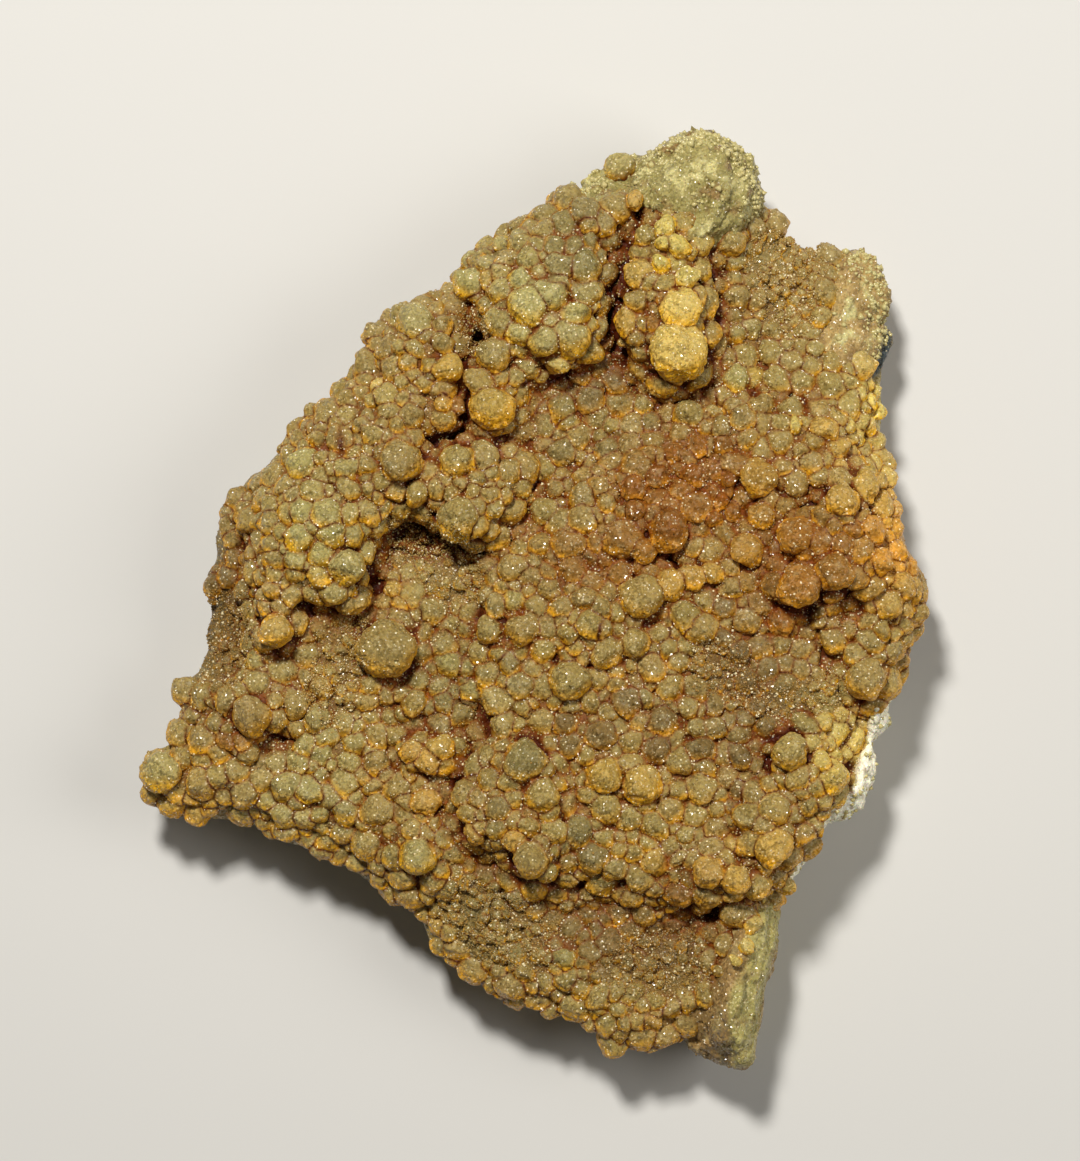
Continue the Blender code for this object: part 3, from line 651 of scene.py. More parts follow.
@dataclass
class Bed:
    """The slab of matrix that carries the crust, with its large forms."""

    survey: Survey = field(default_factory=Survey)
    top: float = 12.6 * MM
    rim_drop: float = 4.2 * MM
    rim_width: float = 6.0 * MM
    taper: float = 0.075
    stock: float = 10.0 * MM
    voxel: float = 0.6 * MM
    side_grain: float = 7.0 * MM
    side_rough: float = 1.1 * MM
    side_reach: float = 2.0 * MM
    back_grain: float = 16.0 * MM
    back_rough: float = 0.5 * MM
    chip_reach: float = 7.0 * MM
    chip_rise: float = 2.6 * MM
    zone_edge: float = 0.4 * MM
    cream_rise: float = 2.2 * MM
    wedge_drop: float = 0.8 * MM

    def __post_init__(self) -> None:
        """Place the outline and lay the bed's height and its zones on the grid."""
        self.outline = self.survey.ring(OUTLINE)
        x, y = Raster.spots()
        rim = depth_inside(x, y, self.outline)
        self.rim = Raster(rim)
        self.relief = Raster(self.raised(x, y, rim))
        self.zones = {name: self.zone(x, y, rings) for name, rings in ZONE_RINGS.items()}
        self.relief.values += self.cream_rise * self.zones["cream"].values
        self.relief.values -= self.wedge_drop * self.zones["wedge"].values

    def zone(self, x: Array, y: Array, rings: tuple[Ring, ...]) -> Raster:
        """How far inside any of the rings each grid point lies, from 0 to 1."""
        deep = [depth_inside(x, y, self.survey.ring(ring)) for ring in rings]
        return Raster(smooth(-self.zone_edge, self.zone_edge, np.max(deep, axis=0)))

    def height(self, x: Array, y: Array) -> Array:
        """The height of the bed under the globules at each place."""
        return self.relief.at(x, y)

    def raised(self, x: Array, y: Array, rim: Array) -> Array:
        """Work out the bed's height from its large forms.

        Args:
            x: places across.
            y: places along.
            rim: how far inside the outline each place lies.

        Returns:
            A height for each place.
        """
        level = np.full(len(x), self.top)
        for rise, slope, rows in TERRACES:
            deep = depth_inside(x, y, self.survey.ring(rows)) / (slope * MM)
            level += rise * MM * smooth(-1, 1, deep)
        tenth = self.survey.tenth
        for across, down, reach_x, reach_y, rise in SWELLS:
            mid_x, mid_y = self.survey.place(across, down)
            spread = ((x - mid_x) / (reach_x * tenth)) ** 2
            spread += ((y - mid_y) / (reach_y * tenth)) ** 2
            level += rise * MM * np.exp(-spread)
        return level - self.rim_drop * np.clip(1 - np.abs(rim) / self.rim_width, 0, 1) ** 2

    def plate(self) -> bpy.types.Mesh:
        """The outline as an evenly meshed flat plate.

        Returns:
            A closed mesh of small quads.
        """
        curve = bpy.data.curves.new("outline", "CURVE")
        curve.dimensions, curve.fill_mode, curve.extrude = "2D", "BOTH", self.stock / 2
        spline = curve.splines.new("POLY")
        ring = self.outline[::-1]
        spline.points.add(len(ring) - 1)
        for point, (x, y) in zip(spline.points, ring):
            point.co = (x, y, 0, 1)
        spline.use_cyclic_u = True
        flat = applied(curve, "plate")
        form = bmesh.new()
        form.from_mesh(flat)
        bmesh.ops.remove_doubles(form, verts=form.verts, dist=0.01 * MM)
        bmesh.ops.translate(form, verts=form.verts, vec=(0, 0, self.stock / 2))
        form.to_mesh(flat)
        form.free()
        return applied(flat, "plate", REMESH={"mode": "VOXEL", "voxel_size": self.voxel})

    def shaped(self) -> tuple[Array, Array]:
        """The bed's points and quads, with relief, tapered sides and a broken back.

        Returns:
            The points, and the quads between them.
        """
        points, quads = arrays_of(self.plate())
        share = np.clip((points[:, 2] / self.stock - 0.03) / 0.94, 0, 1)
        top = self.height(points[:, 0], points[:, 1])
        from_rim = np.abs(self.rim.at(points[:, 0], points[:, 1]))
        at_side = np.clip(1 - from_rim / self.side_reach, 0, 1)
        chipped = np.clip(1 - from_rim / self.chip_reach, 0, 1) ** 2
        flat = points * (1, 1, 0)
        dent = lattice(flat, self.back_grain, 5)
        back = self.back_rough * (dent - 1) + self.chip_rise * chipped * (0.9 + dent)
        back = np.maximum(back, 0)
        side = np.stack([lattice(points, self.side_grain, s) for s in (1, 2)], 1)
        fine = np.stack([lattice(points, self.side_grain / 3, s) for s in (3, 4)], 1)
        points[:, :2] *= (1 - self.taper * (1 - share) ** 1.5)[:, None]
        shift = (side + 0.4 * fine) * (self.side_rough * at_side * (1.4 - share))[:, None]
        points[:, :2] += shift
        points[:, 2] = back + (top - back) * share
        return points, quads


def applied(
    data: bpy.types.ID, name: str, groups: dict | None = None, **modifiers: dict
) -> bpy.types.Mesh:
    """Apply modifiers to a mesh or curve.

    Args:
        data: the mesh or curve.
        name: the name of the mesh that comes out.
        groups: for each vertex group, pairs of point numbers and their weight.
        modifiers: settings under each modifier's type.

    Returns:
        A new mesh.
    """
    holder = bpy.data.objects.new(name, data)
    bpy.context.scene.collection.objects.link(holder)
    for label, rows in (groups or {}).items():
        group = holder.vertex_groups.new(name=label)
        for numbers, weight in rows:
            group.add(numbers.tolist(), weight, "REPLACE")
    for kind, settings in modifiers.items():
        modifier = holder.modifiers.new(kind, kind)
        for key, value in settings.items():
            setattr(modifier, key, value)
    graph = bpy.context.evaluated_depsgraph_get()
    made = bpy.data.meshes.new_from_object(holder.evaluated_get(graph))
    made.name = name
    bpy.data.objects.remove(holder, do_unlink=True)
    return made


def arrays_of(mesh: bpy.types.Mesh) -> tuple[Array, Array]:
    """The points and the faces of a mesh whose faces all have as many corners.

    Args:
        mesh: the mesh.

    Returns:
        Its points, one row each, and the point numbers of each face.
    """
    points = np.empty(len(mesh.vertices) * 3)
    mesh.vertices.foreach_get("co", points)
    corners = np.empty(len(mesh.loops), dtype=np.int64)
    mesh.loops.foreach_get("vertex_index", corners)
    return points.reshape(-1, 3), corners.reshape(len(mesh.polygons), -1)


def mesh_of(name: str, parts: list[tuple[Array, Array]]) -> bpy.types.Mesh:
    """Join parts into one mesh.

    Args:
        name: the mesh's name.
        parts: points and faces, each part with faces of one size.

    Returns:
        The mesh.
    """
    points = np.concatenate([part[0] for part in parts])
    corners, starts, offset, at = [], [], 0, 0
    for places, faces in parts:
        corners.append((faces + offset).ravel())
        starts.append(np.arange(len(faces)) * faces.shape[1] + at)
        offset += len(places)
        at += faces.size
    loops, first = np.concatenate(corners), np.concatenate(starts)
    mesh = bpy.data.meshes.new(name)
    mesh.vertices.add(len(points))
    mesh.vertices.foreach_set("co", points.ravel())
    mesh.loops.add(len(loops))
    mesh.loops.foreach_set("vertex_index", loops)
    mesh.polygons.add(len(first))
    mesh.polygons.foreach_set("loop_start", first)
    mesh.update(calc_edges=True)
    return mesh


def ball(subdivisions: int) -> tuple[Array, Array]:
    """A ball of radius one as points and triangles.

    Args:
        subdivisions: how finely it is divided.

    Returns:
        Its points, and the point numbers of each triangle.
    """
    form = bmesh.new()
    bmesh.ops.create_icosphere(form, subdivisions=subdivisions, radius=1)
    points = np.array([v.co[:] for v in form.verts])
    faces = np.array([[v.index for v in f.verts] for f in form.faces])
    form.free()
    return points, faces


@dataclass
class Globules:
    """Every globule of the crust: its middle, radius and body colour."""

    bed: Bed
    fills: tuple[Fill, ...] = (
        Fill(11, 16000, 12.5, 18.0, 0.70, False),
        Fill(12, 20000, 9.5, 13.5, 0.66, False),
        Fill(13, 16000, 7.0, 9.5, 0.66, False),
        Fill(14, 16000, 3.4, 6.0, 0.82, True),
    )
    sunk: tuple[float, float] = (-0.55, -0.18)
    lumpiness: float = 0.12
    margin: float = 0.55 * MM
    knobbly_radius: float = 1.25 * MM
    even_radius: float = 1.25 * MM
    evening: float = 0.40
    field_across: tuple[float, float] = (130, 935)
    field_down: tuple[float, float] = (120, 1080)
    growth: tuple[float, float] = (0.8, 1.0)
    zone_pull: float = 0.75
    shade_spread: tuple[float, float] = (0.88, 1.12)
    hue_spread: tuple[float, float] = (0.96, 1.04)
    blending: float = 2.0 * MM
    around_cells: tuple[int, int] = (5, 13)
    search: float = 1.0 * MM
    fine_radius: float = 1.0 * MM
    knob: float = 0.75 * MM
    knob_rise: float = 0.09
    squeeze: tuple[float, float] = (0.94, 1.07)

    def __post_init__(self) -> None:
        """Read, sow and seat the globules."""
        rows, tints, rises = [], [], []
        for (stand, tint), group in GLOBULES.items():
            for across, down, radius in group:
                rows.append((across, down, radius))
                tints.append(tint)
                rises.append(stand.value)
        self.read = len(rows)
        for fill in self.fills:
            sown = self.sow(fill, rows)
            tints += [Tint.HONEY] * len(sown)
            rises += list(np.random.default_rng(fill.seed).uniform(*self.sunk, len(sown)))
            rows += sown
        table = np.array(rows, dtype=float)
        x, y = self.bed.survey.place(table[:, 0], table[:, 1])
        self.radius = table[:, 2] * self.bed.survey.tenth
        seat = self.bed.height(x, y) + np.array(rises) * self.radius
        seat += self.evening * np.maximum(self.even_radius - self.radius, 0)
        self.middle = np.stack([x, y, seat], 1)
        self.colour(tints)
        self.lay_over()
        self.fine, self.coarse = ball(4), ball(3)

    def sow(self, fill: Fill, rows: list) -> list:
        """Fit globules into the gaps, as densely on steep walls as on top.

        Args:
            fill: their size, and how far they grow into each other.
            rows: the globules that are there already.

        Returns:
            The new survey rows.
        """
        survey, tenth = self.bed.survey, self.bed.survey.tenth
        chance = np.random.default_rng(fill.seed)
        across = chance.uniform(*self.field_across, fill.tries)
        down = chance.uniform(*self.field_down, fill.tries)
        x, y = survey.place(across, down)
        free = (self.bed.rim.at(x, y) > self.margin) & (self.bed.zones["bare"].at(x, y) < 0.5)
        free &= (self.bed.zones["granular"].at(x, y) > 0.5) == fill.granular
        new = np.stack([across, down, self.bed.height(x, y) / tenth], 1)[free]
        most = chance.uniform(*self.growth, len(new)) * fill.most
        old = np.array(rows, dtype=float)
        level = self.bed.height(*survey.place(old[:, 0], old[:, 1])) / tenth
        taken = np.zeros((len(old) + len(new), 4))
        taken[: len(old)] = np.stack([old[:, 0], old[:, 1], level, old[:, 2]], 1)
        count = len(old)
        for spot, largest in zip(new, most):
            near = taken[:count]
            away = np.sqrt(((near[:, :3] - spot) ** 2).sum(1)) / fill.gap - near[:, 3]
            fit = min(away.min(), largest)
            if fit >= fill.least:
                taken[count, :3], taken[count, 3] = spot, fit
                count += 1
        return [(row[0], row[1], row[3]) for row in taken[len(old) : count]]

    def zoned(self, shade: Array) -> Array:
        """Draw body colours towards those of the crust's broad zones.

        Args:
            shade: one linear colour a row.

        Returns:
            The colours after every zone.
        """
        survey = self.bed.survey
        for tint, across, down, reach_across, reach_down in TINT_ZONES:
            x, y = survey.place(across, down)
            spread = ((self.middle[:, 0] - x) / (reach_across * survey.tenth)) ** 2
            spread += ((self.middle[:, 1] - y) / (reach_down * survey.tenth)) ** 2
            share = self.zone_pull * np.exp(-(spread**1.5))[:, None]
            shade = shade + share * (np.array(linear(tint.value)[:3]) - shade)
        return shade

    def colour(self, tints: list[Tint]) -> None:
        """Give each globule its body colour, drawn towards its neighbours' mean.

        Args:
            tints: the tint that each globule was read or sown with.
        """
        chance = np.random.default_rng(8)
        shade = self.zoned(np.array([linear(tint.value)[:3] for tint in tints]))
        shade *= chance.uniform(*self.shade_spread, (len(shade), 1))
        shade *= chance.uniform(*self.hue_spread, shade.shape)
        weight, total = np.zeros(Raster.count), np.zeros((3, *Raster.count))
        for middle, radius, own in zip(self.middle, self.radius, shade):
            rows, columns, gaps = Raster.window(*middle[:2], 2 * self.blending)
            share = np.exp(-gaps / self.blending**2) * radius / MM
            weight[rows, columns] += share
            for channel in range(3):
                total[channel, rows, columns] += share * own[channel]
        faint = 0.01
        honey = linear(Tint.HONEY.value)
        self.tone = [
            Raster((total[k] + faint * honey[k]) / (weight + faint)) for k in range(3)
        ]
        around = self.tone_at(self.middle[:, 0], self.middle[:, 1])
        self.shade = 0.5 * shade + 0.5 * around

    def tone_at(self, x: Array, y: Array) -> Array:
        """The mean body colour around each place."""
        return np.stack([channel.at(x, y) for channel in self.tone], 1)

    def lay_over(self) -> None:
        """Keep the height of the crust's top, and its mean near and far around."""
        top = self.bed.relief.values.copy()
        top[self.bed.rim.values < 0] = 0
        for middle, radius in zip(self.middle, self.radius):
            rows, columns, gaps = Raster.window(middle[0], middle[1], radius)
            dome = middle[2] + np.sqrt(np.maximum(radius**2 - gaps, 0))
            dome[gaps > radius**2] = 0
            top[rows, columns] = np.maximum(top[rows, columns], dome)
        filled = (top > 0).astype(float)
        self.top = Raster(top)
        self.around = [
            Raster(blurred(top, reach) / np.maximum(blurred(filled, reach), 1e-6))
            for reach in self.around_cells
        ]

    def nearest(self, points: Array) -> tuple[Array, Array, Array]:
        """Find the globule whose skin is nearest to each point.

        Args:
            points: places, one row each.

        Returns:
            Its number, its skin's distance, and how much further the next one's skin is.
        """
        order = np.argsort(points[:, 0])
        across = points[order, 0]
        first, second = np.full(len(points), 9.0), np.full(len(points), 9.0)
        which = np.zeros(len(points), dtype=int)
        for index, (middle, radius) in enumerate(zip(self.middle, self.radius)):
            reach = radius + self.search
            start, stop = np.searchsorted(across, (middle[0] - reach, middle[0] + reach))
            rows = order[start:stop]
            rows = rows[np.abs(points[rows, 1] - middle[1]) < reach]
            off = np.linalg.norm(points[rows] - middle, axis=1) - radius
            closer = off < first[rows]
            hit, rest = rows[closer], rows[~closer]
            second[hit] = first[hit]
            first[hit], which[hit] = off[closer], index
            second[rest] = np.minimum(second[rest], off[~closer])
        return which, first, second - first

    def shape(self, index: int) -> tuple[Array, Array]:
        """One globule as a lumpy ball; the larger ones have knobs on them.

        Args:
            index: the globule's number.

        Returns:
            Its points, and the point numbers of each triangle.
        """
        middle, radius = self.middle[index], self.radius[index]
        chance = np.random.default_rng(900 + index)
        points, faces = self.fine if radius > self.fine_radius else self.coarse
        offset = chance.uniform(0, 40, 3)
        swell = 1 + self.lumpiness * lattice(points + offset, 0.9, 1)
        swell += 0.35 * self.lumpiness * lattice(points + offset, 0.4, 2)
        if radius > self.knobbly_radius:
            knobs = beads(points + offset, self.knob / radius, 3) - 0.6
            swell += self.knob_rise * knobs * (self.knobbly_radius / radius)
        squeeze = chance.uniform(*self.squeeze, 3)
        return middle + points * squeeze * swell[:, None] * radius, faces

    def bands(self, count: int) -> list[Array]:
        """Share the globules out in bands from the pointed end down, of like area.

        Args:
            count: how many bands.

        Returns:
            The numbers of the globules in each band.
        """
        order = np.argsort(-self.middle[:, 1])
        share = np.cumsum(self.radius[order] ** 2)
        cuts = np.searchsorted(share, share[-1] * np.arange(1, count) / count)
        return np.split(order, cuts)


@dataclass
class Crust:
    """The rock and the bands of crust on it, and what their finish reads from them."""

    bed: Bed
    globules: Globules
    voxel: float = 0.19 * MM
    rock_voxel: float = 0.28 * MM
    triangles: int = 188_000
    rock_triangles: int = 118_000
    snap: float = 0.20 * MM
    lowest: float = 0.3 * MM
    merging: int = 4
    bead: float = 0.60 * MM
    bead_mean: float = 0.45
    skin_beads: float = 0.11 * MM
    skin_swell: tuple[float, float] = (0.08 * MM, 0.36 * MM)
    rock_beads: float = 0.16 * MM
    rock_swell: tuple[float, float] = (0.12 * MM, 1.8 * MM)
    rim_band: tuple[float, float] = (1.2 * MM, 2.5 * MM)
    stretch: float = 0.72
    seam_reach: tuple[float, float] = (0.01 * MM, 0.30 * MM)
    cleft_depths: tuple[float, float] = (0.92 * MM, 2.4 * MM)
    names: tuple[str, ...] = ("crust_upper", "crust_middle", "crust_lower")

    def coarser(self) -> float:
        """How much coarser than set the voxels are made: not at all."""
        return 1.0

    def zone(self, name: str, points: Array) -> Array:
        """How far each point lies in a zone of the face, from 0 to 1."""
        return self.bed.zones[name].at(points[:, 0], points[:, 1])

    def within(self, points: Array) -> Array:
        """How far inside the rim each point lies."""
        return self.bed.rim.at(points[:, 0], points[:, 1])

    def under_bed(self, points: Array) -> Array:
        """How far below the bed's top each point lies."""
        return self.bed.height(points[:, 0], points[:, 1]) - points[:, 2]

    def rock(self) -> bpy.types.Mesh:
        """The matrix: a closed slab with hackly broken faces and granular recesses.

        Returns:
            A closed mesh.
        """
        lumps = mesh_of("lumps", [self.bed.shaped()])
        voxel = self.rock_voxel * self.coarser()
        skin = applied(lumps, "skin", REMESH={"mode": "VOXEL", "voxel_size": voxel})
        points, _ = arrays_of(skin)
        low = points[:, 2] < self.snap
        below = smooth(1.2 * MM, 3.2 * MM, self.under_bed(points))
        near_rim = 1 - smooth(*self.rim_band, self.within(points))
        bare = np.maximum(below * near_rim, self.zone("bare", points))
        lift = self.rock_beads * (beads(points, self.bead, 21) - self.bead_mean)
        lift += self.rock_swell[0] * lattice(points, self.rock_swell[1], 23)
        lift *= 1 - bare
        rough = bare > 0.01
        lift[rough] += self.broken(points[rough]) * bare[rough]
        points += self.normals_of(skin) * np.where(low, 0, lift)[:, None]
        points[low, 2] = 0
        points[:, 2] = np.maximum(points[:, 2], 0)
        skin.vertices.foreach_set("co", points.ravel())
        ease = np.where(self.covered(points), 1.0, np.where(low, 0.6, 0.1))
        thin = self.thinned(skin, "matrix", ease, self.rock_triangles)
        self.read_rock(thin)
        return thin

    def broken(self, points: Array) -> Array:
        """How far each point of the broken faces stands out: hackly, and streaked in places.

        Args:
            points: places on the broken faces.

        Returns:
            A lift for each point.
        """
        lift = 0.50 * MM * facets(points, 2.4 * MM, 31) + 0.24 * MM * facets(points, 0.9 * MM, 41)
        for name, across, along, coarse, fine in (
            ("tan", -0.24, -0.97, 0.42, 0.16),
            ("pink", 0.45, 0.89, 0.50, 0.30),
            ("pale", 0.50, 0.86, 0.72, 0.18),
        ):
            share = self.zone(name, points)
            here = share > 0.01
            spot = points[here]
            run = spot[:, 0] * across + spot[:, 1] * along
            spot = spot - self.stretch * run[:, None] * np.array([across, along, 0])
            streaked = coarse * MM * facets(spot, 1.6 * MM, 51)
            streaked += fine * MM * facets(spot, 0.6 * MM, 61)
            lift[here] += share[here] * (streaked - 0.75 * lift[here])
        return lift

    def band(self, name: str, members: Array) -> bpy.types.Mesh:
        """One band of the crust: its globules grown together.

        Args:
            name: the band's name.
            members: the numbers of its globules.

        Returns:
            A closed mesh.
        """
        lumps = mesh_of("lumps", [self.globules.shape(index) for index in members])
        skin = applied(
            lumps, "skin",
            REMESH={"mode": "VOXEL", "voxel_size": self.voxel * self.coarser()},
            SMOOTH={"factor": 0.5, "iterations": self.merging},
        )
        points, _ = arrays_of(skin)
        lift = self.skin_beads * (beads(points, self.bead, 21) - self.bead_mean)
        lift += self.skin_swell[0] * lattice(points, self.skin_swell[1], 22)
        points += self.normals_of(skin) * lift[:, None] + warp(points)
        points[:, 2] = np.maximum(points[:, 2], self.lowest)
        skin.vertices.foreach_set("co", points.ravel())
        LOG.info("%s: %d faces before thinning", name, len(skin.polygons))
        ease = np.where(self.covered(points), 1.0, 0.1)
        thin = self.thinned(skin, name, ease, self.triangles)
        self.read_band(thin)
        return thin

    def covered(self, points: Array) -> Array:
        """Whether each point lies under the crust's top, well inside the rim."""
        under = self.globules.top.at(points[:, 0], points[:, 1]) - points[:, 2] > 0.8 * MM
        return under & (self.within(points) > 1.8 * MM) & (points[:, 2] > 1.0 * MM)

    @staticmethod
    def normals_of(mesh: bpy.types.Mesh) -> Array:
        """The normal at each point of a mesh.

        Args:
            mesh: the mesh.

        Returns:
            One row for each point.
        """
        normals = np.empty(len(mesh.vertices) * 3)
        mesh.vertices.foreach_get("normal", normals)
        return normals.reshape(-1, 3)

    @staticmethod
    def thinned(mesh: bpy.types.Mesh, name: str, ease: Array, most: int) -> bpy.types.Mesh:
        """Thin a mesh out, first where nothing shows.

        Args:
            mesh: the mesh, which is used up.
            name: the new mesh's name.
            ease: how freely each point may go, up to 1.
            most: the most triangles that are left.

        Returns:
            The thinned mesh.
        """
        mesh.update()
        ratio = min(1.0, most / sum(len(face.vertices) - 2 for face in mesh.polygons))
        rows = [(np.flatnonzero(ease == level), float(level)) for level in np.unique(ease)]
        thin = applied(mesh, name, {"ease": rows}, DECIMATE={
            "ratio": ratio, "use_collapse_triangulate": True,
            "vertex_group": "ease", "vertex_group_factor": 1.0,
        })
        bpy.data.meshes.remove(mesh)
        thin.shade_smooth()
        return thin

    def read_band(self, mesh: bpy.types.Mesh) -> None:
        """Store a band's body colour, the share of painted light on its flanks, and where it is
        seamed and lies deep, which the finish darkens with painted shade.

        Args:
            mesh: the mesh to store them on.
        """
        points, _ = arrays_of(mesh)
        even = points - warp(points)
        which, _, gap = self.globules.nearest(even)
        middle, radius = self.globules.middle[which], self.globules.radius[which]
        crown = np.clip((even[:, 2] - middle[:, 2]) / radius, -1, 1)
        lee = np.clip((middle[:, 1] - even[:, 1]) / radius, -1, 1)
        seam = 1 - smooth(*self.seam_reach, gap)
        store(mesh, "tint", self.globules.shade[which])
        # Painted light: more of it down the flanks and towards the side away from the key light.
        store(mesh, "painted_glow_share", smooth(0.08, 1.00, 1.0 - crown + 0.60 * lee))
        # Seams count for more on each globule's lower side, away from the key light: painted shade.
        store(mesh, "seam", seam * (0.60 + 0.40 * smooth(-0.6, 0.4, lee)))
        # Depth below the crust around, which the finish darkens with painted shade.
        store(mesh, "cleft", self.cleft(points))
        store(mesh, "granular", self.zone("granular", points))

    def read_rock(self, mesh: bpy.types.Mesh) -> None:
        """Store the rock's body colour, and where each of its faces lies.

        Args:
            mesh: the mesh to store them on.
        """
        points, _ = arrays_of(mesh)
        below = smooth(1.5 * MM, 4.0 * MM, self.under_bed(points))
        side = below * (1 - smooth(*self.rim_band, self.within(points)))
        back = (points[:, 2] < self.snap * 4).astype(float)
        store(mesh, "tint", self.globules.tone_at(points[:, 0], points[:, 1]) * 0.8)
        # Depth below the crust around, which the finish darkens with painted shade.
        store(mesh, "cleft", self.cleft(points) * (1 - below))
        store(mesh, "side", np.maximum(side, back))
        for name in ZONE_RINGS:
            if name != "bare":
                store(mesh, name, self.zone(name, points))

    def cleft(self, points: Array) -> Array:
        """How deep each point lies below the crust around it, from 0 to 1.5.

        Args:
            points: places, one row each.

        Returns:
            One value for each point.
        """
        depths = (
            (around.at(points[:, 0], points[:, 1]) - points[:, 2]) / depth
            for around, depth in zip(self.globules.around, self.cleft_depths)
        )
        inner = smooth(0.3 * MM, 4.0 * MM, self.within(points))
        return np.clip(np.maximum(*depths), 0, 1.5) * inner


def store(mesh: bpy.types.Mesh, name: str, values: Array) -> None:
    """Store a number or a colour at each point of a mesh.

    Args:
        mesh: the mesh.
        name: the name that the finish reads.
        values: one number or one colour for each point.
    """
    if values.ndim == 1:
        made = mesh.attributes.new(name, "FLOAT", "POINT")
        made.data.foreach_set("value", values.astype(np.float32))
        return
    made = mesh.attributes.new(name, "FLOAT_COLOR", "POINT")
    rgba = np.ones((len(values), 4), dtype=np.float32)
    rgba[:, :3] = values
    made.data.foreach_set("color", rgba.ravel())


def blurred(grid: Array, reach: int) -> Array:
    """A grid smoothed by two passes of a box.

    Args:
        grid: the values.
        reach: half the box's width in cells.

    Returns:
        The smoothed grid.
    """
    made = grid.astype(float)
    width = 2 * reach + 1
    for axis in (0, 1, 0, 1):
        rows = np.moveaxis(made, axis, 0)
        total = np.cumsum(np.pad(rows, ((reach + 1, reach), (0, 0))), axis=0)
        made = np.moveaxis((total[width:] - total[:-width]) / width, 0, axis)
    return made


def add_node(tree: bpy.types.NodeTree, kind: str, given: dict | None = None) -> bpy.types.Node:
    """Add a node with its settings and links.

    Args:
        tree: the material's nodes.
        kind: the node's type without its prefix.
        given: values for its properties, and for its inputs, by name or number, values or
            the sockets that feed them.

    Returns:
        The node.
    """
    node = tree.nodes.new("ShaderNode" + kind)
    for key, value in (given or {}).items():
        if isinstance(value, Socket):
            tree.links.new(value, node.inputs[key])
        elif isinstance(key, str) and hasattr(node, key):
            setattr(node, key, value)
        else:
            node.inputs[key].default_value = value
    return node


def cleared(name: str) -> bpy.types.Material:
    """Start a material without nodes.

    Args:
        name: the material's name.

    Returns:
        The material.
    """
    material = bpy.data.materials.new(name)
    material.use_nodes = True
    material.node_tree.nodes.clear()
    return material


